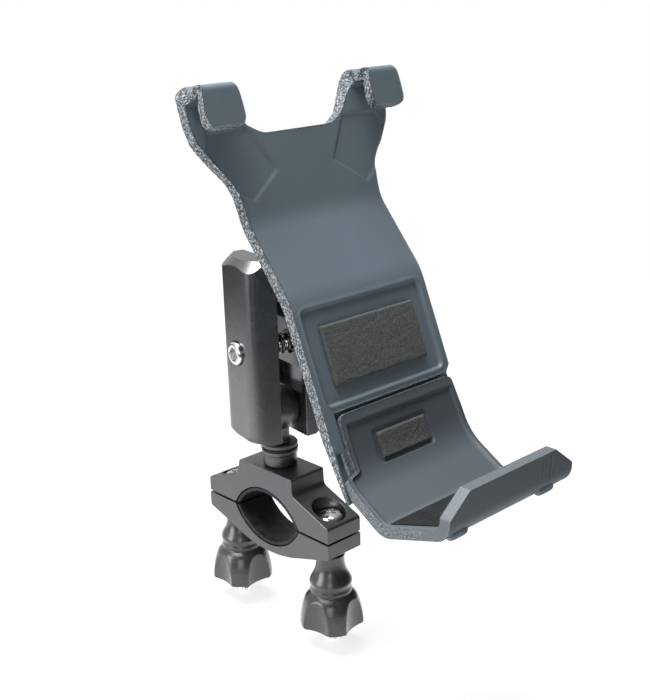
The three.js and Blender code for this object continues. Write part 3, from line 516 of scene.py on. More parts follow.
@dataclass(frozen=True)
class Axes:
    """A local frame: x to the right, y to the back, z up, about an origin in millimetres."""

    origin: Array
    right: Array
    back: Array
    up: Array

    @classmethod
    def standing(cls, origin: Sequence[float], up: Sequence[float], right: Sequence[float]) -> "Axes":
        """A frame whose z is `up` and whose x is as near `right` as it can be.

        Args:
            origin: the frame's origin in millimetres.
            up: the local z axis.
            right: the wished local x axis.

        Returns:
            The frame, right-handed and of unit length: back = up x right.
        """
        z = np.asarray(up, float)
        z = z / np.linalg.norm(z)
        x = np.asarray(right, float)
        x = x - z * (x @ z)
        x = x / np.linalg.norm(x)
        return cls(np.asarray(origin, float), x, np.cross(z, x), z)

    def place(self, points: Array) -> Array:
        """Local points in the row frame: origin + x right + y back + z up."""
        return self.origin + points @ np.stack([self.right, self.back, self.up])

    def shifted(self, x: float, y: float, z: float) -> "Axes":
        """The same frame about another local point."""
        return Axes(self.place(np.array([x, y, z])), self.right, self.back, self.up)


WORLD = Axes(np.zeros(3), np.eye(3)[0], np.eye(3)[1], np.eye(3)[2])


def fillet(corners: Sequence[Sequence[float]], reach: float | Sequence[float], steps: int = 5) -> Array:
    """A closed outline with rounded corners.

    Each corner C becomes the curve (1-t)^2 A + 2t(1-t) C + t^2 B, where A and B lie `reach` before
    and after C on its two sides, and never further than 0.48 of a side.

    Args:
        corners: the outline's corners in order.
        reach: one reach, or one for each corner.
        steps: pieces in each rounded corner.

    Returns:
        The outline's points, corner by corner.
    """
    c = np.asarray(corners, float)
    r = np.broadcast_to(np.asarray(reach, float), (len(c),))
    before = np.roll(c, 1, axis=0) - c
    after = np.roll(c, -1, axis=0) - c
    long_before = np.linalg.norm(before, axis=1)
    long_after = np.linalg.norm(after, axis=1)
    a = c + before * (np.minimum(r, 0.48 * long_before) / long_before)[:, None]
    b = c + after * (np.minimum(r, 0.48 * long_after) / long_after)[:, None]
    t = np.linspace(0, 1, steps + 1)[None, :, None]
    curve = (1 - t) ** 2 * a[:, None] + 2 * t * (1 - t) * c[:, None] + t**2 * b[:, None]
    return curve.reshape(-1, 2)


def fillet_line(corners: Array, reach: Sequence[float], steps: int = 6) -> Array:
    """An open line with rounded inner corners: the ends stay, each inner corner as in `fillet`."""
    c = np.asarray(corners, float)
    inner = c[1:-1]
    r = np.asarray(reach, float)[:, None]
    a = inner + (c[:-2] - inner) / np.linalg.norm(c[:-2] - inner, axis=1)[:, None] * r
    b = inner + (c[2:] - inner) / np.linalg.norm(c[2:] - inner, axis=1)[:, None] * r
    t = np.linspace(0, 1, steps + 1)[None, :, None]
    curve = (1 - t) ** 2 * a[:, None] + 2 * t * (1 - t) * inner[:, None] + t**2 * b[:, None]
    return np.concatenate([c[:1], curve.reshape(-1, 2), c[-1:]])


def along_line(line: Array, stations: Array) -> tuple[Array, Array]:
    """Points and unit tangents of a line at distances from its start.

    Args:
        line: (n, 2) points of the line.
        stations: distances along it; beyond either end the last direction goes on.

    Returns:
        The points, and the tangents as the direction between two near points.
    """
    step = np.linalg.norm(np.diff(line, axis=0), axis=1)
    s = np.concatenate([[0], np.cumsum(step)])

    def at(d: Array) -> Array:
        """The point at distance d, carried on straight past the ends."""
        inside = np.stack([np.interp(d, s, line[:, k]) for k in range(2)], axis=-1)
        head = (line[0] - line[1]) / step[0]
        tail = (line[-1] - line[-2]) / step[-1]
        return inside + np.maximum(-d, 0)[:, None] * head + np.maximum(d - s[-1], 0)[:, None] * tail

    reach = 0.05
    ahead = at(stations + reach) - at(stations - reach)
    return at(stations), ahead / np.linalg.norm(ahead, axis=1)[:, None]


def smoothstep(low: float, high: float, value: Array) -> Array:
    """0 below low, 1 above high, and 3t^2 - 2t^3 between them."""
    t = np.clip((value - low) / (high - low), 0, 1)
    return t * t * (3 - 2 * t)


def rounded_box(x: Array, y: Array, half: tuple[float, float], radius: float) -> Array:
    """Signed distance to a rounded rectangle about the origin, negative inside it."""
    qx = np.abs(x) - half[0] + radius
    qy = np.abs(y) - half[1] + radius
    outside = np.hypot(np.maximum(qx, 0), np.maximum(qy, 0))
    return outside + np.minimum(np.maximum(qx, qy), 0) - radius


def polygon_distance(x: Array, y: Array, corners: Array) -> Array:
    """Signed distance to a convex polygon: the largest distance past any of its sides.

    Args:
        x: first coordinate of the points.
        y: second coordinate of the points.
        corners: the polygon's corners, anticlockwise.

    Returns:
        The distance, negative inside.
    """
    side = np.roll(corners, -1, axis=0) - corners
    normal = np.stack([side[:, 1], -side[:, 0]], axis=1) / np.linalg.norm(side, axis=1)[:, None]
    gaps = (
        (x[..., None] - corners[:, 0]) * normal[:, 0]
        + (y[..., None] - corners[:, 1]) * normal[:, 1]
    )
    return gaps.max(axis=-1)


def value_noise(shape: tuple[int, int], cells: tuple[int, int], seed: int) -> Array:
    """Smooth noise from 0 to 1 on a grid: seeded values on a coarse lattice, blended by smoothstep.

    Args:
        shape: rows and columns of the grid.
        cells: lattice cells down and across it.
        seed: the generator's seed.

    Returns:
        The heights.
    """
    lattice = np.random.default_rng(seed).random((cells[0] + 2, cells[1] + 2))
    v = np.linspace(0, cells[0], shape[0])[:, None] * np.ones(shape[1])
    u = np.ones((shape[0], 1)) * np.linspace(0, cells[1], shape[1])
    i = v.astype(int)
    j = u.astype(int)
    fv = smoothstep(0, 1, v - i)
    fu = smoothstep(0, 1, u - j)
    top = lattice[i, j] * (1 - fu) + lattice[i, j + 1] * fu
    low = lattice[i + 1, j] * (1 - fu) + lattice[i + 1, j + 1] * fu
    return top * (1 - fv) + low * fv


def quads(a: Array, b: Array, c: Array, d: Array) -> Array:
    """Four index arrays as one (n, 4) array of faces."""
    return np.stack([a.ravel(), b.ravel(), c.ravel(), d.ravel()], axis=1)


def shell(front: Array, back: Array, keep: Array | None = None) -> Skin:
    """A sheet with thickness from two grids of points.

    Front cells face the side from which rows run down and columns run right; the back grid is turned
    round, and every open side of a kept cell gets a wall between the two grids. The rim mask is 1 on
    the points that the walls share with the grids, and so it fades out over the first cell.

    Args:
        front: (rows, columns, 3) points of the front.
        back: points of the back, in the same order.
        keep: (rows - 1, columns - 1) True where there is material.

    Returns:
        The closed surface.
    """
    rows, columns = front.shape[:2]
    kept = np.ones((rows - 1, columns - 1), bool) if keep is None else keep
    index = np.arange(rows * columns).reshape(rows, columns)
    total = rows * columns
    i, j = np.nonzero(kept)
    face_front = quads(index[i, j], index[i + 1, j], index[i + 1, j + 1], index[i, j + 1])
    face_back = face_front[:, ::-1] + total
    padded = np.pad(kept, 1)
    walls = []
    for di, dj, first, second in (
        (-1, 0, (0, 1), (0, 0)),
        (1, 0, (1, 0), (1, 1)),
        (0, -1, (0, 0), (1, 0)),
        (0, 1, (1, 1), (0, 1)),
    ):
        open_side = kept & ~padded[1 + di : rows + di, 1 + dj : columns + dj]
        m, n = np.nonzero(open_side)
        p = index[m + first[0], n + first[1]]
        q = index[m + second[0], n + second[1]]
        walls.append(quads(q, p, p + total, q + total))
    wall = np.concatenate(walls)
    faces = np.concatenate([face_front, face_back, wall])
    points = np.concatenate([front.reshape(-1, 3), back.reshape(-1, 3)])
    rim = np.zeros(len(points))
    rim[np.unique(wall)] = 1.0
    used, packed = np.unique(faces, return_inverse=True)
    return Skin(points[used], [packed.reshape(faces.shape)], rim[used])


def lathe(profile: Sequence[Sequence[float]], facets: int = 64) -> Skin:
    """A turned piece about z: each (radius, z) becomes a ring r (cos a, sin a), z.

    Ends on the axis close in a fan; a profile that doesn't reach the axis closes on itself.

    Args:
        profile: (radius, z) pairs, with the material on the left of the way they run.
        facets: points in each ring.

    Returns:
        The closed surface.
    """
    p = np.asarray(profile, float)
    on_axis = p[0, 0] < 1e-9
    rings = p[1:-1] if on_axis else p
    turn = np.linspace(0, 2 * np.pi, facets, endpoint=False)
    grid = np.stack(
        [
            rings[:, :1] * np.cos(turn),
            rings[:, :1] * np.sin(turn),
            rings[:, 1:] * np.ones(facets),
        ],
        axis=-1,
    )
    return wrapped(grid, (p[0, 1], p[-1, 1]) if on_axis else None)


def wrapped(grid: Array, poles: tuple[float, float] | None) -> Skin:
    """Closes a (rings, facets, 3) grid round each ring.

    Args:
        grid: the rings in order, each anticlockwise seen from above.
        poles: heights of the two end points on the axis, or None to join the last ring to the first.

    Returns:
        The closed surface, facing out when the rings run upwards on the outside.
    """
    rings, facets = grid.shape[:2]
    index = np.arange(rings * facets).reshape(rings, facets)
    upper = np.roll(index, -1, axis=0) if poles is None else index[1:]
    lower = index if poles is None else index[:-1]
    faces = [quads(lower, np.roll(lower, -1, 1), np.roll(upper, -1, 1), upper)]
    points = grid.reshape(-1, 3)
    if poles is not None:
        ends = np.array([[0, 0, poles[0]], [0, 0, poles[1]]])
        first = np.full(facets, len(points))
        last = first + 1
        faces.append(np.stack([first, np.roll(index[0], -1), index[0]], axis=1))
        faces.append(np.stack([last, index[-1], np.roll(index[-1], -1)], axis=1))
        points = np.concatenate([points, ends])
    return Skin(points, faces)


def prism(outline: Array, low: float, high: float) -> Skin:
    """A flat (x, y) outline, anticlockwise, given height from z = low to z = high."""
    n = len(outline)
    ring = np.arange(n)
    ahead = np.roll(ring, -1)
    ends = [np.column_stack([outline, np.full(n, z)]) for z in (low, high)]
    sides = quads(ring, ahead, ahead + n, ring + n)
    return Skin(np.concatenate(ends), [sides, ring[::-1][None], (ring + n)[None]])


def coil(radius: float, wire: float, low: float, high: float, turns: float, facets: int = 10) -> Skin:
    """A compression spring about z with closed, flat-lying end turns.

    The wire's middle is (R cos a, R sin a, h), where h rises by one wire a turn over the first and
    last turn and evenly between; the tube round it is the circle w (cos b n + sin b k) of the radial
    direction n and of k, square to it and to the wire.

    Args:
        radius: radius of the wire's middle line.
        wire: radius of the wire.
        low: lower end.
        high: upper end.
        turns: number of turns.
        facets: points round the wire.

    Returns:
        The closed surface.
    """
    count = int(turns * 22)
    a = np.linspace(0, 2 * np.pi * turns, count)
    share = a / a[-1]
    base = low + wire
    top = high - wire
    end = 1 / turns
    rise = 2 * wire
    knots = np.array([0, end, 1 - end, 1])
    levels = np.array([base, base + rise, top - rise, top])
    h = np.interp(share, knots, levels)
    slope = np.gradient(h, a)
    n = np.stack([np.cos(a), np.sin(a), np.zeros(count)], axis=1)
    along = np.stack([-radius * np.sin(a), radius * np.cos(a), slope], axis=1)
    along /= np.linalg.norm(along, axis=1)[:, None]
    k = np.cross(along, n)
    b = np.linspace(0, 2 * np.pi, facets, endpoint=False)
    middle = np.stack([radius * np.cos(a), radius * np.sin(a), h], axis=1)
    ring = np.cos(b)[None, :, None] * n[:, None] + np.sin(b)[None, :, None] * k[:, None]
    grid = middle[:, None] + wire * ring
    index = np.arange(count * facets).reshape(count, facets)
    sides = quads(index[:-1], index[1:], np.roll(index[1:], -1, 1), np.roll(index[:-1], -1, 1))
    caps = [index[0][None], index[-1][::-1][None]]
    return Skin(grid.reshape(-1, 3), [sides, *caps])


def thread(radius: float, depth: float, pitch: float, low: float, high: float, facets: int = 36) -> Skin:
    """A threaded rod about z with coned ends.

    The radius at angle a and height z is R - d |2 f - 1| with f the fractional part of z / p - a / 2 pi,
    and it falls by one depth over the last half pitch at either end.

    Args:
        radius: outer radius.
        depth: depth of the thread.
        pitch: rise of one turn.
        low: lower end.
        high: upper end.
        facets: points round the rod.

    Returns:
        The closed surface.
    """
    rows = max(int((high - low) / pitch * 6), 8)
    z = np.linspace(low, high, rows)[:, None] * np.ones(facets)
    a = np.ones((rows, 1)) * np.linspace(0, 2 * np.pi, facets, endpoint=False)
    f = np.mod(z / pitch - a / (2 * np.pi), 1)
    r = radius - depth * np.abs(2 * f - 1)
    taper = np.minimum(z - low, high - z) / (0.8 * pitch)
    r = np.minimum(r, radius - depth * (1.4 - np.clip(taper, 0, 1.4)))
    grid = np.stack([r * np.cos(a), r * np.sin(a), z], axis=-1)
    return wrapped(grid, (low, high))


def hexagon(across: float) -> Array:
    """Corners of a hexagon with `across` millimetres across its flats."""
    a = np.linspace(0, 2 * np.pi, 6, endpoint=False) + np.pi / 6
    return across / np.sqrt(3) * np.stack([np.cos(a), np.sin(a)], axis=1)


def circle(radius: float, facets: int = 48) -> Array:
    """Points of a circle."""
    a = np.linspace(0, 2 * np.pi, facets, endpoint=False)
    return radius * np.stack([np.cos(a), np.sin(a)], axis=1)


def cross(span: float, width: float) -> Array:
    """Outline of a plus sign, anticlockwise."""
    s, w = span / 2, width / 2
    return np.array(
        [
            [s, -w], [s, w], [w, w], [w, s], [-w, s], [-w, w],
            [-s, w], [-s, -w], [-w, -w], [-w, -s], [w, -s], [w, -w],
        ]
    )


def level_ring(radius: float, angles: Array, height: float) -> Array:
    """A level ring about z: (r cos a, r sin a, height)."""
    level = np.full(len(angles), height)
    return np.stack([radius * np.cos(angles), radius * np.sin(angles), level], axis=-1)


# ----------------------------------------------------------------------------------- making pieces
class Cut(Enum):
    """How one solid meets another."""

    TAKE = "DIFFERENCE"
    JOIN = "UNION"
    KEEP = "INTERSECT"


def mesh_of(name: str, skin: Skin) -> bpy.types.Mesh:
    """A mesh in metres from a surface in millimetres."""
    mesh = bpy.data.meshes.new(name)
    counts = np.concatenate([np.full(len(f), f.shape[1]) for f in skin.faces])
    corners = np.concatenate([f.ravel() for f in skin.faces])
    mesh.vertices.add(len(skin.points))
    mesh.vertices.foreach_set("co", (skin.points * MM).astype(np.float32).ravel())
    mesh.loops.add(len(corners))
    mesh.loops.foreach_set("vertex_index", corners.astype(np.int32))
    mesh.polygons.add(len(counts))
    starts = np.concatenate([[0], np.cumsum(counts)[:-1]])
    mesh.polygons.foreach_set("loop_start", starts.astype(np.int32))
    mesh.update(calc_edges=True)
    mesh.validate()
    values = skin.rim if skin.rim is not None else np.zeros(len(skin.points))
    layer = mesh.attributes.new("rim", "FLOAT", "POINT")
    layer.data.foreach_set("value", values.astype(np.float32))
    return mesh


def carve(mesh: bpy.types.Mesh, cuts: Sequence[tuple[Cut, Skin]]) -> bpy.types.Mesh:
    """The mesh after other solids have been taken from it, joined to it or met with it.

    Args:
        mesh: the solid to work on.
        cuts: what is done, and with which solid, in order.

    Returns:
        A new mesh.
    """
    scene = bpy.context.scene
    block = bpy.data.objects.new("block", mesh)
    scene.collection.objects.link(block)
    tools = []
    for way, skin in cuts:
        tool = bpy.data.objects.new("tool", mesh_of("tool", skin))
        scene.collection.objects.link(tool)
        boolean = block.modifiers.new("cut", "BOOLEAN")
        boolean.operation = way.value
        boolean.solver = "EXACT"
        boolean.object = tool
        tools.append(tool)
    bpy.context.view_layer.update()
    graph = bpy.context.evaluated_depsgraph_get()
    done = bpy.data.meshes.new_from_object(block.evaluated_get(graph))
    for spare in (block, *tools):
        bpy.data.objects.remove(spare)
    return done


@dataclass
class SubAssembly:
    """What every sub-assembly shares: its materials and the way a piece is added."""

    wardrobe: Wardrobe

    def add(
        self,
        name: str,
        skin: Skin,
        finish: Finish,
        body: str,
        replaces: Sequence[str],
        cuts: Sequence[tuple[Cut, Skin]] = (),
        bevel: float = 0.0,
        segments: int = 2,
        sharp: float = 35.0,
    ) -> bpy.types.Object:
        """Adds one finished piece.

        Args:
            name: the piece's name.
            skin: its surface in the row frame, in millimetres.
            finish: what it is dressed in.
            body: the CAD body that it rides on.
            replaces: the CAD nodes that it stands for.
            cuts: solids carved from it or joined to it.
            bevel: width of its rounded edges in millimetres, or 0.
            segments: pieces in each rounded edge.
            sharp: edges sharper than this many degrees stay sharp, or are rounded.

        Returns:
            The object.
        """
        mesh = mesh_of(name, skin)
        if cuts:
            mesh = carve(mesh, cuts)
            mesh.name = name
        mesh.materials.clear()
        mesh.materials.append(self.wardrobe[finish])
        mesh.shade_smooth()
        piece = bpy.data.objects.new(name, mesh)
        bpy.context.scene.collection.objects.link(piece)
        if bevel:
            round_off = piece.modifiers.new("rounded edges", "BEVEL")
            round_off.width = bevel * MM
            round_off.segments = segments
            round_off.limit_method = "ANGLE"
            round_off.angle_limit = math.radians(sharp)
            round_off.miter_outer = "MITER_ARC"
            even = piece.modifiers.new("even shading", "WEIGHTED_NORMAL")
            even.keep_sharp = True
        else:
            mesh.set_sharp_from_angle(angle=math.radians(sharp))
        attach(piece, body)
        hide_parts(*replaces)
        finish.slot
        log.info("%s: %d faces, %s, on %s", name, len(mesh.polygons), finish.slot, body)
        return piece

    def add_screw(self, node: str, place: Axes, seat: float, length: float) -> None:
        """Adds a pan-head screw of the cradle as a head and a threaded shank.

        Args:
            node: the CAD node that it stands for.
            place: its axis, with the head below z = seat.
            seat: height of the face that the head presses on.
            length: length of the shank above the seat.
        """
        head, recess, rod = pan_screw(seat, length)
        self.add(
            f"{node}_head", head.moved(place), Finish.STEEL, "cradle", [node],
            [(Cut.TAKE, recess.moved(place))], bevel=0.08,
        )
        self.add(f"{node}_shank", rod.moved(place), Finish.STEEL, "cradle", [node], sharp=60)


def joint(name: str) -> dict[str, Any]:
    """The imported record's joint of that name."""
    return next(j for j in frame["record"]["behaviour"]["joints"] if j["name"] == name)


def joint_axes(name: str, up: Sequence[float] | None = None) -> Axes:
    """A frame at a joint's place.

    Args:
        name: the joint, whose axis becomes x, or z where no `up` is given.
        up: the local z axis, or None to use the joint's axis.

    Returns:
        The frame, in millimetres.
    """
    found = joint(name)
    origin = np.array(found["pos_m"]) / MM
    axis = np.array(found["axis"])
    if up is None:
        return Axes.standing(origin, axis, (1, 0, 0))
    return Axes.standing(origin, up, axis)


def span(node: str) -> tuple[Array, Array]:
    """Lowest and highest corner of a CAD node in millimetres."""
    low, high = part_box(node)
    return np.array(low) / MM, np.array(high) / MM


# -------------------------------------------------------------------------------- handlebar clamp
@dataclass
class HandlebarClamp(SubAssembly):
    """The two aluminium halves, their rubber liners and the two cap screws."""

    split: float = 0.4
    reach: float = 34.0
    half_chord: float = 18.5
    rise: float = 11.3
    liner_wall: float = 1.5
    fit: float = 0.3
    block_half: float = 15.0
    ear_end: float = 6.2
    ear_root: float = 13.2
    bow_wall: float = 2.8
    bow_flank: float = 19.0
    bow_flank_depth: float = 10.6
    bolt_y: float = 26.2
    hole: float = 6.6
    spot_face: float = 12.4
    spot_level: float = 4.8
    knob_seat: float = 8.2
    thread_hole: float = 8.6
    thread_depth: float = 6.3
    corner_cut: float = 0.6
    bore_cutter: float = 60.0
    liner_ribs: int = 26
    rib_height: float = 0.12
    dome_edge: float = 1.1
    head_back: float = 0.2

    def __post_init__(self) -> None:
        """Reads the clamp's width and height from the model."""
        low, high = span("clamp_upper")
        self.width = high[0] - low[0]
        self.top = high[2]
        self.radius = (self.half_chord**2 + self.rise**2) / (2 * self.rise)
        self.centre = self.rise - self.radius

    def arc(self, inset: float, count: int = 49) -> Array:
        """The bore's arc as (y, z) above the split: y = r sin a, z = c + r cos a."""
        r = self.radius - inset
        limit = math.acos(min(1.0, (self.split - self.centre) / r))
        a = np.linspace(limit, -limit, count)
        return np.stack([r * np.sin(a), self.centre + r * np.cos(a)], axis=1)

    def along_bar(self, outline: Array, width: float) -> Skin:
        """A (y, z) outline, anticlockwise seen from +x, carried along the bar."""
        flat = prism(outline, -width / 2, width / 2)
        return Skin(flat.points[:, [2, 0, 1]], flat.faces)

    def build(self) -> None:
        """Adds the halves, the liners and the screws."""
        self.upper()
        self.lower()
        self.liners()
        for end, side in (("front", -1), ("rear", 1)):
            self.bolt(end, side)

    def holes(self, level: float, far: float) -> list[tuple[Cut, Skin]]:
        """Cutters for the two bolt holes and for the pocket round each, from `level` to `far`."""
        low, high = sorted((level, far))
        cutters = []
        for side in (-1, 1):
            place = WORLD.shifted(0, side * self.bolt_y, 0)
            cutters.append((Cut.TAKE, prism(circle(self.hole / 2), -THROUGH, THROUGH).moved(place)))
            cutters.append((Cut.TAKE, prism(circle(self.spot_face / 2, 64), low, high).moved(place)))
        return cutters

    def upper(self) -> None:
        """The upper half: block for the stud, two sloping ears and the bore's arc."""
        b, t = self.block_half, self.top
        outer = fillet(
            [
                (-self.reach, self.split),
                (self.reach, self.split),
                (self.reach, self.ear_end),
                (b + 0.3, self.ear_root),
                (b, t),
                (-b, t),
                (-b - 0.3, self.ear_root),
                (-self.reach, self.ear_end),
            ],
            [0.3, 0.3, 0.8, 1.6, 2.2, 0.9, 1.6, 0.8],
            4,
        )
        bore = self.arc(0.0)[::-1]
        cut = np.concatenate([bore, [[self.half_chord, -2.0], [-self.half_chord, -2.0]]])
        cutters = self.holes(self.spot_level, t + 5)
        cutters.insert(0, (Cut.TAKE, self.along_bar(cut[::-1], self.bore_cutter)))
        stud_hole = prism(circle(self.thread_hole / 2), t - self.thread_depth, t + 5)
        cutters.append((Cut.TAKE, stud_hole))
        self.add(
            "clamp_top_half", self.along_bar(outer, self.width), Finish.ANODISED, "clamp",
            ["clamp_upper"], cutters, bevel=0.4,
        )

    def lower(self) -> None:
        """The lower half: two ears and a bow under the bore."""
        bottom = self.rise + self.bow_wall
        t = np.linspace(-1, 1, 31)
        bow = np.stack(
            [self.bow_flank * t, -(bottom + (self.bow_flank_depth - bottom) * t * t)], axis=1
        )
        nip = self.corner_cut
        outline = np.concatenate(
            [
                [[self.reach, -self.split], [-self.reach, -self.split]],
                [[-self.reach, -self.ear_end + nip], [-self.reach + nip, -self.ear_end]],
                bow,
                [[self.reach - nip, -self.ear_end], [self.reach, -self.ear_end + nip]],
            ]
        )
        bore = self.arc(0.0) * (1, -1)
        cut = np.concatenate([bore, [[-self.half_chord, 2.0], [self.half_chord, 2.0]]])
        cutters = self.holes(-self.knob_seat, -30)
        cutters.insert(0, (Cut.TAKE, self.along_bar(cut[::-1], self.bore_cutter)))
        self.add(
            "clamp_lower_half", self.along_bar(outline, self.width), Finish.ANODISED, "clamp_foot",
            ["clamp_lower"], cutters, bevel=0.4,
        )

    def liners(self) -> None:
        """Two rubber liners whose inner face carries low ribs along the bar."""
        rows = 121
        columns = 9
        x = np.linspace(-self.width / 2 + self.fit, self.width / 2 - self.fit, columns)
        for name, sign, body in (("upper", 1, "clamp"), ("lower", -1, "clamp_foot")):
            outer = self.arc(self.fit, rows)
            inner = self.arc(self.fit + self.liner_wall, rows)
            middle = np.array([0.0, self.centre])
            share = np.linspace(0, 1, rows)
            wave = 0.5 - 0.5 * np.cos(2 * np.pi * self.liner_ribs * share)
            ribs = self.rib_height * wave * np.sin(np.pi * share)
            reach = inner - middle
            inner = inner + reach / np.linalg.norm(reach, axis=1)[:, None] * ribs[:, None]
            grids = []
            for line in (outer, inner):
                grid = np.empty((rows, columns, 3))
                grid[..., 0] = x
                grid[..., 1] = line[:, None, 0]
                grid[..., 2] = sign * line[:, None, 1]
                grids.append(grid)
            first, second = grids if sign > 0 else grids[::-1]
            self.add(
                f"liner_{name}_strip", shell(second, first), Finish.RUBBER, body,
                [f"liner_{name}"], bevel=0.25, sharp=50,
            )

    def bolt(self, end: str, side: int) -> None:
        """One cap screw: domed head with a cross recess and a threaded shank.

        Args:
            end: "front" or "rear".
            side: -1 or 1, the sign of its place across the bar.
        """
        low, high = span(f"clamp_bolt_{end}")
        r = (high[0] - low[0]) / 2
        top = high[2]
        seat = self.spot_level + self.fit
        a = np.linspace(0.05, np.pi / 2, 12)
        edge = self.dome_edge
        dome = np.stack([r * np.cos(a), seat + edge + (top - seat - edge) * np.sin(a)], axis=1)
        dome[-1, 0] = 0.0
        back = seat - self.head_back
        profile = [(0, back), (2.8, back), (r - 0.2, seat), (r, seat + 0.4), *dome]
        place = WORLD.shifted(0, side * self.bolt_y, 0)
        recess = prism(cross(5.0, 1.25), top - 1.5, top + 2).moved(
            Axes.standing(place.origin, (0, 0, 1), (0.86, 0.5, 0))
        )
        head = lathe(profile).moved(place)
        shank = thread(3.0, 0.35, 1.0, low[2], seat + 0.4).moved(place)
        self.add(
            f"clamp_bolt_{end}_screw", head, Finish.CHROME, "clamp", [f"clamp_bolt_{end}"],
            [(Cut.TAKE, recess)], bevel=0.12,
        )
        self.add(
            f"clamp_bolt_{end}_shank", shank, Finish.CHROME, "clamp", [f"clamp_bolt_{end}"], sharp=60
        )


@dataclass
class StarKnobs(SubAssembly):
    """The two four-lobed knobs with their brass inserts."""

    bolt_y: float = 26.2
    lobes: int = 4
    facets: int = 288
    scallop_radius: float = 15.1
    scallop_axis: float = 24.4
    scallop_blend: float = 0.35
    no_scallop: float = 99.0
    front_turn: float = 56.7
    rear_turn: float = 44.0

    def outline(self, top: float, bottom: float) -> tuple[Array, Array]:
        """Height and radius down the knob's outside.

        Args:
            top: height of the neck's end.
            bottom: height of the skirt's lower end.

        Returns:
            Two arrays from the top to the bottom.
        """
        drop = np.array(
            [0, 1.5, 3.2, 4.6, 5.8, 7.0, 7.9, 8.8, 9.6, 10.4, 10.9, 11.3, 12.2, 12.9, 13.6, 14.4]
        )
        radius = np.array(
            [5.5, 5.3, 5.3, 5.5, 5.8, 6.3, 6.8, 7.3, 7.7, 7.95, 8.0, 7.8, 7.5, 7.65, 7.85, 7.85]
        )
        tail = np.array([14.7, 15.3, 16.1, 16.9, 18.4, 20.2, 22.5, 25.0, 27.4, 27.8, 28.0])
        skirt = np.array([7.4, 8.1, 9.0, 9.65, 10.3, 10.9, 11.4, 11.75, 11.9, 11.8, 11.5])
        knots = np.concatenate([drop, tail])
        levels = np.concatenate([radius, skirt])
        fine = np.concatenate([np.linspace(0, 18, 91), np.linspace(18.4, 27.2, 30), [27.5, 27.8, 28.0]])
        r = np.interp(fine, knots, levels)
        kernel = np.array([1, 2, 1]) / 4
        smooth = np.convolve(np.pad(r, 1, mode="edge"), kernel, "valid")
        return top - fine * (top - bottom) / fine[-1], smooth

    def build(self) -> None:
        """Adds both knobs and inserts."""
        for end, side, turn in (("front", -1, self.front_turn), ("rear", 1, self.rear_turn)):
            self.knob(end, side, turn)

    def knob(self, end: str, side: int, lobe_turn: float) -> None:
        """One knob: its radius is the smaller of the turned outline's and that of a round scallop.

        A scallop is cut by a cylinder of radius R whose axis lies at D, so at an angle a from its middle
        its surface lies at D cos a - sqrt(R^2 - D^2 sin^2 a); the two radii blend where they cross.

        Args:
            end: "front" or "rear".
            side: -1 or 1, the sign of its place across the bar.
            lobe_turn: degrees from X to a lobe.
        """
        low, high = span(f"star_knob_{end}")
        top, bottom = high[2], low[2]
        z, r = self.outline(top, bottom)
        a = np.linspace(0, 2 * np.pi, self.facets, endpoint=False)
        turn = 2 * np.pi / self.lobes
        off = np.mod(a, turn) - turn / 2
        reach = self.scallop_axis
        inside = self.scallop_radius**2 - (reach * np.sin(off)) ** 2
        cut = reach * np.cos(off) - np.sqrt(np.maximum(inside, 0))
        scallop = np.where(inside > 0, cut, self.no_scallop)
        blend = self.scallop_blend
        share = np.clip(0.5 + 0.5 * (scallop[None, :] - r[:, None]) / blend, 0, 1)
        radius = scallop * (1 - share) + r[:, None] * share - blend * share * (1 - share)
        outside = np.stack([radius * np.cos(a), radius * np.sin(a), z[:, None] * np.ones(len(a))], axis=-1)
        under = np.stack([level_ring(share_in * radius[-1], a, bottom) for share_in in (0.78, 0.62, 0.50)])
        bore = [
            (4.75, bottom + 0.2),
            (4.6, bottom + 1.0),
            (4.6, bottom + 12.6),
            (3.35, bottom + 12.7),
            (3.35, top - 0.3),
            (3.6, top),
        ]
        inner = np.stack([level_ring(q, a, h) for q, h in bore])
        grid = np.concatenate([outside, under, inner])[::-1]
        place = WORLD.shifted(0, side * self.bolt_y, 0)
        lobe = math.radians(lobe_turn)
        turned = Axes.standing(place.origin, (0, 0, 1), (math.cos(lobe), math.sin(lobe), 0))
        body = f"knob_{end}"
        self.add(
            f"star_knob_{end}_grip", wrapped(grid, None).moved(turned), Finish.KNOB, body,
            [f"star_knob_{end}"], sharp=62,
        )
        self.insert(end, place, body)

    def insert(self, end: str, place: Axes, body: str) -> None:
        """The hexagonal brass nut moulded into one knob.

        Args:
            end: "front" or "rear".
            place: the bolt's axis.
            body: the body that it rides on.
        """
        low, high = span(f"knob_insert_{end}")
        outer = prism(hexagon(7.9), low[2], high[2]).moved(place)
        hole = prism(circle(3.25), low[2] - 5, high[2] + 5).moved(place)
        self.add(
            f"knob_insert_{end}_nut", outer, Finish.BRASS, body, [f"knob_insert_{end}"],
            [(Cut.TAKE, hole)], bevel=0.3,
        )


# ------------------------------------------------------------------------------------------- the arm
def sphere_profile(radius: float, neck: float, count: int = 40) -> Array:
    """(radius, z) down a ball from its top to where a neck of radius `neck` meets it below."""
    limit = math.pi - math.asin(neck / radius)
    a = np.linspace(0, limit, count)
    return np.stack([radius * np.sin(a), radius * np.cos(a)], axis=1)


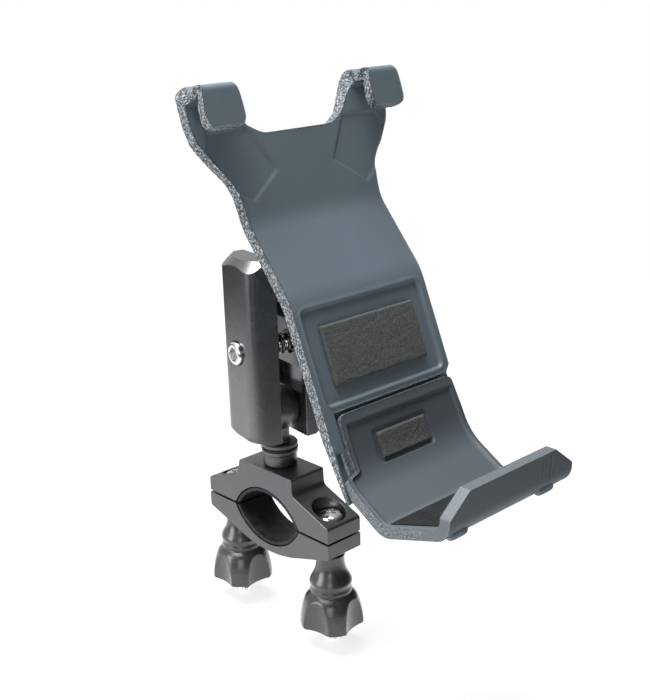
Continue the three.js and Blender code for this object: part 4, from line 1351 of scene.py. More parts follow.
@dataclass
class BallArm(SubAssembly):
    """The two arm halves, their cap screw, nut and spring, and the lower ball stud."""

    ball: float = 17.0
    spacing: float = 49.2
    half_gap: float = 5.4
    thickness: float = 11.0
    half_width: float = 10.8
    end: float = 9.6
    corner: float = 5.4
    clearance: float = 0.3
    land: float = 8.4
    pocket: float = 3.4
    pocket_wall: float = 2.5
    screw: float = 5.0
    screw_hole: float = 2.8
    spring_seat: float = 4.5
    spring_depth: float = 4.0
    head_radius: float = 4.25
    head_height: float = 3.6
    head_round: float = 0.9
    head_proud: float = 1.6
    head_pocket: float = 4.6
    head_depth: float = 2.3
    socket: float = 4.4
    socket_depth: float = 2.9
    nut_across: float = 8.0
    nut_height: float = 4.0
    nut_pocket: float = 8.6
    nut_depth: float = 3.3
    turned_radius: float = 14.25

    def __post_init__(self) -> None:
        """Finds the arm's own frame at its lower ball."""
        self.axes = joint_axes("arm_tilt", (0, 0, 1))
        self.screw_axes = Axes.standing(
            joint_axes("arm_screw_turn").origin, self.axes.right, (0, 0, 1)
        )

    def build(self) -> None:
        """Adds the stud, its ring, both halves and their fastening."""
        self.lower_stud()
        for name, sign, body in (("left", -1, "arm"), ("right", 1, "arm_far_half")):
            self.half(name, sign, body)
        self.cap_screw()
        self.nut()
        self.spring()

    def lower_stud(self) -> None:
        """The turned stud: ball, waisted neck, grooved collar, base and thread; and its rubber ring."""
        low, _ = span("ball_stud")
        place = Axes.standing(self.axes.origin, (0, 0, 1), (1, 0, 0))
        depth = low[2] - place.origin[2]
        seat = depth + 6.0
        groove = -14.7
        collar = 6.8
        down = np.concatenate(
            [
                sphere_profile(self.ball / 2, 4.0),
                [
                    (3.9, -8.2), (3.85, -10.5), (3.95, -12.2), (4.4, -12.95), (5.2, -13.1), (6.3, -13.1),
                    (collar, -13.6), (collar, groove), (5.8, groove - 0.02), (5.8, groove - 1.3),
                    (collar, groove - 1.32), (collar, -17.3), (6.6, -17.7), (6.35, -17.9),
                    (6.35, seat + 0.5), (6.0, seat), (4.1, seat - 0.02), (4.0, depth + 0.6),
                    (3.4, depth), (0, depth),
                ],
            ]
        )
        self.add(
            "ball_stud_turned", lathe(down[::-1], 96).moved(place), Finish.ANODISED, "stud",
            ["ball_stud"], sharp=30,
        )
        low_ring, high_ring = span("stud_ring")
        middle = (low_ring[2] + high_ring[2]) / 2 - place.origin[2]
        a = np.linspace(0, 2 * np.pi, 16, endpoint=False)
        section = np.stack([6.5 + 0.48 * np.cos(a), middle + 0.48 * np.sin(a)], axis=1)
        self.add(
            "stud_ring_rubber", lathe(section, 96).moved(place), Finish.RUBBER, "stud",
            ["stud_ring"], sharp=80,
        )

    def half(self, name: str, sign: int, body: str) -> None:
        """One half: a rounded bar with coned ends, two sockets, two reliefs and its screw's hole.

        Args:
            name: "left" or "right".
            sign: -1 for the left half, 1 for the right.
            body: the body that it rides on.
        """
        inner = self.half_gap
        outer = inner + self.thickness
        w = self.half_width
        section = fillet(
            [(inner, -w), (outer, -w), (outer, w), (inner, w)], [0.5, self.corner, self.corner, 0.5], 12
        )
        if sign < 0:
            section = (section * (-1, 1))[::-1]
        length = self.spacing + 2 * self.end
        bar = prism(section, -self.end, length - self.end)
        ends = self.turned_ends(length)
        sockets = []
        for centre in (0.0, self.spacing):
            ball = lathe(sphere_profile(self.ball / 2 + self.clearance, 1e-4, 48)[::-1], 72)
            sockets.append((Cut.TAKE, ball.moved(self.axes.shifted(0, 0, centre))))
        reliefs = []
        low = self.ball / 2 - 2
        high = self.spacing / 2 - self.land
        deep, side = self.pocket, w - self.pocket_wall
        for a, b in ((low, high), (self.spacing - high, self.spacing - low)):
            outline = fillet([(-deep, -side), (deep, -side), (deep, side), (-deep, side)], 1.2, 4)
            relief = prism(outline, a, b).moved(self.axes.shifted(sign * inner, 0, 0))
            reliefs.append((Cut.TAKE, relief))
        screw = self.screw_axes
        bore = prism(circle(self.screw_hole), -THROUGH, THROUGH).moved(screw)
        deep_seat = inner + self.spring_depth
        seat = prism(circle(self.spring_seat), -deep_seat, deep_seat).moved(screw)
        if sign < 0:
            face = prism(circle(self.head_pocket), -outer - 5, -outer + self.head_depth).moved(screw)
        else:
            face = prism(hexagon(self.nut_pocket), outer - self.nut_depth, outer + 5).moved(screw)
        cutters = [(Cut.KEEP, ends), *sockets, *reliefs]
        cutters += [(Cut.TAKE, bore), (Cut.TAKE, seat), (Cut.TAKE, face)]
        self.add(
            f"arm_{name}_half", bar.moved(self.axes), Finish.ANODISED_SATIN, body, [f"arm_half_{name}"],
            cutters, bevel=0.3, sharp=28,
        )

    def turned_ends(self, length: float) -> Skin:
        """A long turned blank whose ends fall away by 45 degrees beyond `turned_radius`."""
        flat = self.turned_radius
        wide = 24.0
        fall = wide - flat
        top = length - self.end
        low = -self.end
        profile = [(0, low), (flat, low), (wide, low + fall), (wide, top - fall), (flat, top), (0, top)]
        return lathe(profile, 96).moved(self.axes)

    def cap_screw(self) -> None:
        """The socket cap screw through both halves: rounded head, hexagonal socket, threaded end."""
        head = self.half_gap + self.thickness + self.head_proud
        under = head - self.head_height
        r, soft = self.head_radius, self.head_round
        a = np.linspace(0, np.pi / 2, 8)
        rim = np.stack([r - soft + soft * np.cos(a), head - soft + soft * np.sin(a)], axis=1)
        profile = [(0, under), (r - 0.3, under), (r, under + 0.3), *rim, (0, head)]
        away = Axes.standing(self.screw_axes.origin, -self.axes.right, (0, 0, 1))
        socket = prism(hexagon(self.socket), head - self.socket_depth, head + 2).moved(away)
        self.add(
            "arm_cap_screw_head", lathe(profile).moved(away), Finish.CHROME, "arm_screw", ["arm_bolt"],
            [(Cut.TAKE, socket)], bevel=0.12,
        )
        shank = thread(self.screw / 2, 0.3, 0.8, -(self.half_gap + self.thickness + 1.2), head - 3.2)
        self.add(
            "arm_cap_screw_shank", shank.moved(away), Finish.CHROME, "arm_screw", ["arm_bolt"], sharp=60
        )

    def nut(self) -> None:
        """The hexagonal nut in the right half, with its corners turned off."""
        low = self.half_gap + self.thickness - 3.0
        high = low + self.nut_height
        blank = prism(hexagon(self.nut_across), low, high).moved(self.screw_axes)
        coned = lathe([(0, low - 1), (6, low - 1), (6, high - 1.2), (4.2, high + 0.1), (0, high + 0.1)])
        hole = prism(circle(2.75), low - 5, high + 5).moved(self.screw_axes)
        self.add(
            "arm_lock_nut", blank, Finish.STEEL, "arm_far_half", ["arm_nut"],
            [(Cut.KEEP, coned.moved(self.screw_axes)), (Cut.TAKE, hole)], bevel=0.15,
        )

    def spring(self) -> None:
        """The spring round the screw that pushes the halves apart."""
        reach = self.half_gap + 3.7
        skin = coil(3.5, 0.68, -reach, reach, 7.5, 12).moved(self.screw_axes)
        self.add("arm_push_spring", skin, Finish.BLACKENED, "arm", ["arm_spring"], sharp=80)


# ------------------------------------------------------------------------------------ pan-head screws
def pan_screw(
    seat: float, length: float, head: float = 2.75, height: float = 2.4, shank: float = 1.5
) -> tuple[Skin, Skin, Skin]:
    """A pan-head screw about z whose head hangs below z = seat.

    Args:
        seat: height of the face that the head presses on.
        length: length of the shank above the seat.
        head: radius of the head.
        height: height of the head.
        shank: radius of the shank.

    Returns:
        The head, its cross recess, and the threaded shank.
    """
    a = np.linspace(0, np.pi / 2, 9)
    dome = np.stack([head * np.sin(a), seat - 0.6 - (height - 0.6) * np.cos(a)], axis=1)
    profile = [*dome, (head, seat - 0.15), (head - 0.15, seat), (0, seat)]
    recess = prism(cross(2.8, 0.8), seat - height - 1, seat - height + 1.1)
    rod = thread(shank, 0.25, 0.8, seat - 0.3, seat + length, 28)
    return lathe(profile, 40), recess, rod


# --------------------------------------------------------------------------------------- the cradle
@dataclass(frozen=True)
class SideProfile:
    """The cradle's side view as (y, z): where its front face bends."""

    ball: Array
    upper_tilt: float = math.radians(18.3)
    shoulder_tilt: float = math.radians(39.2)
    panel_tilt: float = math.radians(22.3)
    standoff: float = 37.1
    stud_below_bend: float = 6.0
    shoulder: float = 29.4
    upper: float = 28.0

    @staticmethod
    def step(start: Array, tilt: float, distance: float) -> Array:
        """The point `distance` up a face that leans back by `tilt`."""
        return start + distance * np.array([math.sin(tilt), math.cos(tilt)])

    @staticmethod
    def outward(start: Array, tilt: float, distance: float) -> Array:
        """The point `distance` in front of such a face."""
        return start + distance * np.array([-math.cos(tilt), math.sin(tilt)])

    @property
    def bend(self) -> Array:
        """The upper bend."""
        foot = self.outward(self.ball, self.shoulder_tilt, self.standoff)
        return self.step(foot, self.shoulder_tilt, self.stud_below_bend)

    @property
    def panel_top(self) -> Array:
        """The lower bend, at the panel's upper edge."""
        return self.step(self.bend, self.shoulder_tilt, -self.shoulder)

    @property
    def valley(self) -> Array:
        """The middle of the edge between the two arms."""
        return self.step(self.bend, self.upper_tilt, self.upper)

    def panel_axes(self) -> Axes:
        """x across the panel, y up it, z out of it, about its upper edge."""
        y, z = self.panel_top
        t = self.panel_tilt
        return Axes(
            np.array([0, y, z]),
            np.array([1.0, 0, 0]),
            np.array([0, math.sin(t), math.cos(t)]),
            np.array([0, -math.cos(t), math.sin(t)]),
        )


def base_screw_places(axes: Axes) -> list[Axes]:
    """The places of the base's four screws, evenly round a circle about the stud's axis."""
    radius = 11
    turns = [math.pi / 4 + i * math.pi / 2 for i in range(4)]
    return [axes.shifted(radius * math.cos(a), radius * math.sin(a), 0) for a in turns]


@dataclass
class CradlePlate(SubAssembly):
    """The bent plate with its two hooks, the boss behind it and the foam pad of its panel."""

    profile: SideProfile
    thickness: float = 4.0
    half_width: float = 30.5
    waist: float = 30.2
    tip: float = 43.4
    valley_half: float = 14.0
    hook_rise: float = 17.5
    hook_inner: float = 28.3
    hook_depth: float = 9.6
    finger: float = 3.4
    finger_tip: float = 1.5
    roof: float = 3.6
    panel: float = 37.0
    rail_front: float = 49.5
    rail: float = 66.0
    right_rail: float = 56.0  # its low face and its tapered back meet before the left rail's end
    rail_width: float = 4.5
    rail_wall: float = 0.75
    rail_floor: float = -2.3
    taper_start: float = 44.0
    rail_tip: float = 1.2
    panel_corner: float = 2.4
    recess_half: float = 27.3
    recess_top: float = 3.4
    recess_bottom: float = 34.4
    recess_depth: float = 1.2
    channel_depth: float = 0.5
    side_cells: int = 44
    middle_cells: int = 22
    front_corner: int = 17

    def build(self) -> None:
        """Adds the plate, the boss and the pad."""
        self.plate()
        self.boss()
        self.pad()

    def hook_rows(self) -> tuple[Array, Array, Array]:
        """The curled part above the valley on the upper face's own (out, up) axes.

        The outer line runs up the finger's front, over the dipped roof and down the back; the inner
        line runs up the finger's back, under the roof and down the face. Both have the same number of
        points, stretch by stretch.

        Returns:
            Inner points, outer points, and the share of the way from the finger's tip (0) to the
            back corner (1), staying at 1 down the arm.
        """
        d, f, top = self.hook_depth, self.finger, self.hook_rise
        front_top = top - 1.5
        under = front_top - self.roof
        tip = self.finger_tip
        quarter = np.linspace(0, np.pi / 2, 8)[:, None]
        r_out, r_back, r_in = 2.4, 3.0, 1.4
        back = -self.thickness
        up = np.linspace(0, 1, 14)[:, None]
        outer_finger = np.array([d, tip]) + up * np.array([0, front_top - r_out - tip])
        inner_finger = np.array([d - f, tip]) + up * np.array([0, under - r_in - tip])
        corner = np.concatenate([np.cos(quarter), np.sin(quarter)], axis=1)
        outer_corner = np.array([d - r_out, front_top - r_out]) + r_out * corner
        inner_corner = np.array([d - f - r_in, under - r_in]) + r_in * corner
        across = np.linspace(0, 1, 14)[1:-1, None]
        outer_roof = np.array([d - r_out, front_top]) + across * np.array(
            [back + r_back - d + r_out, top - front_top]
        )
        outer_roof[:, 1] -= 1.9 * np.sin(np.pi * np.clip(1.25 * across[:, 0], 0, 1)) ** 2
        inner_roof = np.array([d - f - r_in, under]) + across * np.array([r_in - d + f + r_in, 0])
        turn = np.concatenate([-np.sin(quarter), np.cos(quarter)], axis=1)
        outer_back = np.array([back + r_back, top - r_back]) + r_back * turn
        inner_back = np.array([r_in, under - r_in]) + r_in * turn
        down = np.linspace(0, 1, 26)[1:, None]
        outer_arm = np.array([back, top - r_back]) + down * np.array([0, r_back - top])
        inner_arm = np.array([0, under - r_in]) + down * np.array([0, r_in - under])
        outer = np.concatenate([outer_finger, outer_corner[1:], outer_roof, outer_back, outer_arm])
        inner = np.concatenate([inner_finger, inner_corner[1:], inner_roof, inner_back, inner_arm])
        share = np.concatenate([np.linspace(0, 1, len(outer) - len(outer_arm)), np.ones(len(outer_arm))])
        return inner, outer, share

    def plate(self) -> None:
        """The whole plate as one sheet with thickness, its relief pressed into the front."""
        s = self.profile
        inner, outer, share = self.hook_rows()
        face_out = np.array([-math.cos(s.upper_tilt), math.sin(s.upper_tilt)])
        face_up = np.array([math.sin(s.upper_tilt), math.cos(s.upper_tilt)])
        top_front = s.valley + inner @ np.stack([face_out, face_up])
        top_back = s.valley + outer @ np.stack([face_out, face_up])
        end = s.step(s.panel_top, s.panel_tilt, -self.rail - 1)
        bent = fillet_line(np.stack([s.valley, s.bend, s.panel_top, end]), [3.2, 4.2], 10)
        below_bend = s.upper + s.shoulder
        stations = np.concatenate(
            [
                np.linspace(0, s.upper - 3.6, 46)[1:],
                np.linspace(s.upper - 3.2, s.upper + 3.2, 13),
                np.linspace(s.upper + 4, below_bend - 5, 16),
                np.linspace(below_bend - 4.2, below_bend + 2.6, 14),
                below_bend + np.linspace(2.8, 4.6, 8),
                below_bend + np.linspace(5.6, 33.2, 19),
                below_bend + np.linspace(33.6, self.panel, 13),
                below_bend + np.linspace(self.panel + 0.5, self.rail_front, 9),
                below_bend + np.linspace(self.rail_front + 0.5, self.rail, 17),
            ]
        )
        line, tangent = along_line(bent, stations)
        normal = np.stack([tangent[:, 1], -tangent[:, 0]], axis=1)
        down = stations - below_bend
        share_down = np.clip((down - self.taper_start) / (self.rail - self.taper_start), 0, 1)
        depth = self.thickness + (self.rail_tip - self.thickness) * share_down
        low_front = line
        low_back = line - normal * depth[:, None]
        front_line = np.concatenate([top_front, low_front])
        back_line = np.concatenate([top_back, low_back])
        n_top = len(top_front)
        x = self.columns(inner[:, 1], outer[:, 1], share, stations, n_top)
        rows, columns = x.shape
        height = np.concatenate([inner[:, 1], -stations])
        relief = self.relief(x, height, stations, n_top)
        front_normal = np.concatenate([np.tile(face_out, (n_top, 1)), normal])
        below = np.concatenate([np.full(n_top, -1.0), down])[:, None]
        thick = np.concatenate([np.full(n_top, self.thickness), depth])[:, None]
        sunk = np.where(x < 0, below > self.rail_front + 0.2, below > self.panel + 0.2)
        walled = (x < 0) & (np.abs(x) > self.half_width - self.rail_wall)
        floor = np.minimum(-self.rail_floor, thick - 0.35)
        relief = relief + np.where(sunk & ~walled & (below > self.panel), floor, 0)
        front = np.empty((rows, columns, 3))
        back = np.empty((rows, columns, 3))
        front[..., 0] = x
        back[..., 0] = x
        front[..., 1:] = front_line[:, None] - relief[..., None] * front_normal[:, None]
        back[..., 1:] = back_line[:, None]
        keep = np.ones((rows - 1, columns - 1), bool)
        middle = slice(self.side_cells, columns - 1 - self.side_cells)
        keep[: n_top - 1, middle] = False
        last = n_top + int(np.searchsorted(stations, below_bend + self.panel + 0.1))
        keep[last - 1 :, middle] = False
        right_end = n_top + int(np.searchsorted(stations, below_bend + self.right_rail))
        keep[right_end - 1 :, columns - 1 - self.side_cells :] = False
        skin = shell(front, back, keep)
        self.add(
            "cradle_plate_shell", skin, Finish.NYLON, "cradle", ["cradle_plate"],
            bevel=0.55, segments=3, sharp=50,
        )

    def columns(self, inner_up: Array, outer_up: Array, share: Array, stations: Array, n_top: int) -> Array:
        """The x of every grid point.

        Each row runs from its outer edge to its inner edge, across the middle, and out again.

        Args:
            inner_up: height above the valley of each upper row's front point.
            outer_up: height above the valley of each upper row's back point.
            share: 0 at the finger's tip to 1 at the back corner.
            stations: distance below the valley of each lower row.
            n_top: number of upper rows.

        Returns:
            A (rows, columns) array.
        """
        up = (inner_up + outer_up) / 2
        arm = share >= 1
        outline_up = np.array([0, 5, 13.5, 17.5])
        outer_arm = np.interp(up, outline_up, [self.tip - 1, self.tip, self.tip, self.tip])
        inner_arm = np.interp(
            up, [0, 0.35, 1.4, 3.6, 8, 12.5, 15], [14, 15.6, 17.6, 21, 24, 27.2, self.hook_inner]
        )
        tip_round = 3.4
        near = np.clip((tip_round - (up - self.finger_tip)) / tip_round, 0, 1)
        pull = np.where(share < 0.45, tip_round * (1 - np.sqrt(1 - near**2)), 0)
        crown = 1.3 * np.exp(-(((share - share[self.front_corner]) / 0.11) ** 2))
        rear_round = 3.0
        close = np.clip((rear_round - (self.hook_rise - outer_up)) / rear_round, 0, 1)
        rear = rear_round * (1 - np.sqrt(1 - close**2)) * smoothstep(0.5, 0.85, share)
        outer_top = np.where(arm, outer_arm - rear, self.tip - pull - crown - rear)
        inner_top = np.where(arm, inner_arm + 0.5 * rear, self.hook_inner + pull + crown + 0.5 * rear)
        u = self.profile.upper
        low = u + self.profile.shoulder
        half = self.half_width
        outer_low = np.interp(
            stations,
            [0, 2.4, 5, 8, 11, 14.5, 18, 23, u, low, low + 100],
            [self.tip - 1, 41.2, 39.4, 37.3, 34.8, 32.3, 31, 30.4, self.waist, half, half],
        )
        rail_inner = half - self.rail_width
        inner_low = np.interp(
            stations,
            [0, low, low + self.panel - 1, low + 200],
            [self.valley_half, self.valley_half, rail_inner, rail_inner],
        )
        outer = np.concatenate([outer_top, outer_low])[:, None]
        inner = np.concatenate([inner_top, inner_low])[:, None]
        down = np.concatenate([np.full(n_top, -1.0), stations - low])[:, None]
        cut = np.where(down < self.panel + 0.2, np.clip(down - self.panel + self.panel_corner, 0, None), 0)
        a = np.linspace(0, 1, self.side_cells + 1)[None, :]
        m = np.linspace(-1, 1, self.middle_cells + 1)[None, 1:-1]
        left = -(outer + (inner - outer) * a)
        right = (outer - cut + (inner - outer + cut) * a)[:, ::-1]
        return np.concatenate([left, inner * m, right], axis=1)

    def relief(self, x: Array, height: Array, stations: Array, n_top: int) -> Array:
        """Depth pressed into the front: the panel's recess and a shallow channel along each arm.

        Args:
            x: the grid's x.
            height: distance above the valley of each row, negative below it.
            stations: distance below the valley of each lower row.
            n_top: number of upper rows.

        Returns:
            The depth at every grid point.
        """
        low = self.profile.upper + self.profile.shoulder
        down = np.concatenate([np.full(n_top, -1e3), stations - low])[:, None]
        middle = (self.recess_top + self.recess_bottom) / 2
        half = (self.recess_half, (self.recess_bottom - self.recess_top) / 2)
        edge = rounded_box(x, down - middle, half, 1.8)
        recess = self.recess_depth * smoothstep(0.35, -0.35, edge)
        lip = 0.18 * np.exp(-(((edge - 0.9) / 0.5) ** 2))
        corners = np.array(
            [(12.6, -12.2), (25.9, -21.4), (31.2, -17.6), (39.4, -3.2), (37.5, 2.2), (21.5, 2.4)]
        )
        cos_tilt = math.cos(self.profile.upper_tilt)
        upright = height[:, None] * cos_tilt * np.ones_like(x)
        side = polygon_distance(np.abs(x), upright, corners * (1, cos_tilt))
        on_face = np.concatenate([height[:n_top] < 9, np.ones(len(stations), bool)])[:, None]
        first_arm = np.zeros(len(height), bool)
        first_arm[n_top - 25 :] = True
        channel = self.channel_depth * smoothstep(0.3, -0.3, side) * (on_face & first_arm[:, None])
        return recess + channel - np.where(down > -5, lip, 0)

    def boss(self) -> None:
        """The round boss behind the plate that the stud's base is screwed to."""
        axes = joint_axes("cradle_turn")
        low = 23.8
        high = self.profile.standoff - 2.6
        r = 16.0
        profile = [(0, low), (r - 0.6, low), (r, low + 0.6), (r, high - 2.2), (r + 1.4, high), (0, high)]
        holes = [
            (Cut.TAKE, prism(circle(SCREW_HOLE, 24), low - 2, low + 8.2).moved(place))
            for place in base_screw_places(axes)
        ]
        holes.append((Cut.TAKE, prism(circle(3.3, 40), low - 2, low + 5.6).moved(axes)))
        s = self.profile
        sunk = -1.5
        ahead = s.outward(s.valley, s.upper_tilt, sunk)
        middle = s.outward(s.bend, (s.upper_tilt + s.shoulder_tilt) / 2, sunk)
        under = s.outward(s.panel_top, s.shoulder_tilt, sunk)
        outline = np.stack([np.array([-90.0, 60.0]), under, middle, ahead, np.array([-90.0, 180.0])])
        flat = prism(outline, -THROUGH, THROUGH)
        mask = Skin(flat.points[:, [2, 0, 1]], flat.faces)
        self.add(
            "cradle_boss", lathe(profile, 96).moved(axes), Finish.NYLON, "cradle", ["cradle_plate"],
            [(Cut.TAKE, mask), *holes], bevel=0.3,
        )

    def pad(self) -> None:
        """The foam pad glued into the panel's recess."""
        foam = FoamPad(self.wardrobe, "panel_pad", "cradle")
        foam.build(self.profile.panel_axes(), 21.6, -29.5, -9.4, lambda x, y: -0.9 + 0 * x, 1.5, 41)


@dataclass
class FoamPad(SubAssembly):
    """A thin sheet of foam with a pitted face, soft, slightly uneven edges and a painted highlight along
    its top edge.
    """

    node: str
    body: str

    def build(
        self, axes: Axes, half: float, low: float, high: float,
        ground: Callable[[Array, Array], Array], thickness: float, seed: int,
    ) -> None:
        """Adds the pad.

        The face is the ground plus the thickness, less a rounded edge of 0.55 and small pits; the
        outline wanders by about a tenth of a millimetre.

        Args:
            axes: x across, y up and z out of the surface that it lies on.
            half: half of its width.
            low: its lower edge on y.
            high: its upper edge on y.
            ground: height of the surface under it as a function of x and y.
            thickness: the foam's thickness.
            seed: seed of the pits.
        """
        pitch = 0.34
        columns = int(2 * half / pitch)
        rows = int((high - low) / pitch)
        u = np.linspace(-1, 1, columns)[None, :] * np.ones((rows, 1))
        v = np.linspace(1, -1, rows)[:, None] * np.ones((1, columns))
        middle = (low + high) / 2
        tall = (high - low) / 2
        wander = 0.12 * (value_noise((rows, columns), (rows // 6, columns // 6), seed) - 0.5)
        x = u * (half - 0.1 + wander)
        y = middle + v * (tall - 0.1 + wander)
        edge = -rounded_box(u * half, v * tall, (half, tall), 1.0)
        soft = 0.55 * (1 - np.sqrt(1 - (1 - np.clip(edge / 0.9, 0, 1)) ** 2))
        pits = value_noise((rows, columns), (rows // 2, columns // 2), seed + 1)
        lumps = value_noise((rows, columns), (rows // 9, columns // 9), seed + 2)
        z_front = ground(x, y) + thickness - soft - 0.16 * pits - 0.10 * lumps
        front = axes.place(np.stack([x, y, z_front], axis=-1))
        back = axes.place(np.stack([x, y, ground(x, y)], axis=-1))
        skin = shell(front, back)
        # painted highlight: a thin band just inside the top edge, kept in the rim attribute, which the foam
        # material lightens
        top = y > high - 0.55
        band = np.exp(-((edge - 0.3) / 0.25) ** 2) * top
        count = rows * columns
        skin.rim = np.zeros(len(skin.points))
        skin.rim[:count] = band.ravel()
        piece = self.add(f"{self.node}_foam", skin, Finish.FOAM, self.body, [self.node], sharp=60)


@dataclass
class StudBase(SubAssembly):
    """The cradle's ball stud, its round base and the base's four screws."""

    ball: float = 17.0

    def build(self) -> None:
        """Adds the stud, the base and the screws."""
        axes = joint_axes("cradle_turn")
        down = sphere_profile(self.ball / 2, 3.5)
        up = down * (1, -1)
        rest = [
            (3.4, 8.4), (3.35, 11.5), (3.5, 14.2), (4.2, 15.1), (6.3, 15.2), (6.8, 15.7), (6.8, 17.2),
            (6.5, 17.5), (6.35, 17.6), (6.35, 19.2), (3.05, 19.22), (3.0, 28.0), (2.6, 28.5), (0, 28.5),
        ]
        self.add(
            "cradle_stud_turned", lathe([*up, *rest], 96).moved(axes), Finish.ANODISED, "cradle_stud",
            ["cradle_ball_stud"], sharp=30,
        )
        disc = [(0, 19.5), (13.9, 19.5), (15, 20.4), (15, 23.2), (14.7, 23.5), (0, 23.5)]
        holes = [(Cut.TAKE, prism(circle(3.3, 40), 15, 30).moved(axes))]
        places = base_screw_places(axes)
        holes += [(Cut.TAKE, prism(circle(SCREW_HOLE, 24), 15, 30).moved(place)) for place in places]
        self.add(
            "cradle_base_disc", lathe(disc, 96).moved(axes), Finish.ANODISED, "cradle", ["cradle_base"],
            holes, bevel=0.25,
        )
        for i, place in enumerate(places, 1):
            self.add_screw(f"base_screw_{i}", place, seat=19.2, length=9.9)


@dataclass
class JawHousing(SubAssembly):
    """The cover behind the panel with the jaw's rods and springs."""

    profile: SideProfile
    half_width: float = 20.0
    top: float = 2.0
    length: float = 34.0
    depth: float = 9.0
    wall: float = 2.0
    face: float = -4.3
    rod_x: float = 11.0
    rod_level: float = -7.8
    ear_x: float = 23.8
    ear_rows: tuple[float, ...] = (-8.5, -29.5)
    ear_half: float = 3.5
    travel: float = 15.0

    def build(self) -> None:
        """Adds the cover, its screws, and both rods with their clips and springs."""
        self.axes = self.profile.panel_axes()
        self.cover()
        for name, side in (("left", -1), ("right", 1)):
            self.slide(name, side)

    def cover(self) -> None:
        """The moulded cover: a shallow box open to the panel, with four screw ears."""
        back = self.face - self.depth
        low, high = -self.top - self.length, -self.top
        h = self.half_width
        outline = fillet([(-h, low), (h, low), (h, high), (-h, high)], 2.2, 6)
        box = prism(outline, back, self.face)
        w = h - self.wall
        floor, ceiling = low + self.wall, high - self.wall
        room = fillet([(-w, floor), (w, floor), (w, ceiling), (-w, ceiling)], 1.2, 5)
        cuts: list[tuple[Cut, Skin]] = []
        places = []
        for side in (-1, 1):
            for y in self.ear_rows:
                places.append(self.axes.shifted(side * self.ear_x, y, 0))
                near, far = sorted((side * (h - 1), side * (h + 6.8)))
                under, over = y - self.ear_half, y + self.ear_half
                ear = fillet([(near, under), (far, under), (far, over), (near, over)], 1.6, 5)
                cuts.append((Cut.JOIN, prism(ear, self.face - 3.0, self.face).moved(self.axes)))
        cuts.append((Cut.TAKE, prism(room, back + self.wall, self.face + 2).moved(self.axes)))
        cuts += [(Cut.TAKE, prism(circle(SCREW_HOLE, 24), -12, 0).moved(place)) for place in places]
        for side in (-1, 1):
            foot = self.axes.place(np.array([side * self.rod_x, low, self.rod_level]))
            down = Axes.standing(foot, self.axes.back, (1, 0, 0))
            cuts.append((Cut.TAKE, prism(circle(2.0, 32), -3, 4).moved(down)))
        self.add(
            "jaw_housing_cover", box.moved(self.axes), Finish.NYLON, "cradle", ["back_cover"], cuts,
            bevel=0.6, segments=3,
        )
        ears = np.stack([place.origin for place in places])
        for i in range(1, len(places) + 1):
            low_box, high_box = span(f"cover_screw_{i}")
            middle = (low_box + high_box) / 2
            away = np.abs(ears[:, 0] - middle[0]) + np.abs(ears[:, 2] - middle[2])
            nearest = places[int(np.argmin(away))]
            self.add_screw(f"cover_screw_{i}", nearest, seat=-7.6, length=5.1)

    def slide(self, name: str, side: int) -> None:
        """One guide rod with its clip and its spring.

        Args:
            name: "left" or "right".
            side: -1 or 1.
        """
        top = self.axes.place(np.array([side * self.rod_x, 0, self.rod_level]))
        place = Axes.standing(top, self.axes.back, (1, 0, 0))
        rod = [(0, -47.8), (1.1, -47.8), (1.5, -47.4), (1.5, -6.9), (1.1, -6.5), (0, -6.5)]
        self.add(
            f"guide_rod_{name}_pin", lathe(rod, 40).moved(place), Finish.STEEL, "jaw",
            [f"guide_rod_{name}"], sharp=30,
        )
        clip = [(1.8, -10.1), (2.7, -10.1), (3.0, -9.8), (3.0, -8.8), (2.7, -8.5), (1.8, -8.5)]
        self.add(
            f"rod_clip_{name}_ring", lathe(clip, 40).moved(place), Finish.STEEL, "jaw",
            [f"rod_clip_{name}"], sharp=30,
        )
        low, high = -33.7, -10.4
        spring = self.add(
            f"jaw_spring_{name}_coil", coil(2.4, 0.4, low, high, 9.0).moved(place), Finish.STEEL, "cradle",
            [f"jaw_spring_{name}"], sharp=80,
        )
        anchor = place.place(np.array([0, 0, low])) * MM
        keep = (high - low - self.travel) / (high - low)
        tuple(self.axes.back)
        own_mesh(spring)


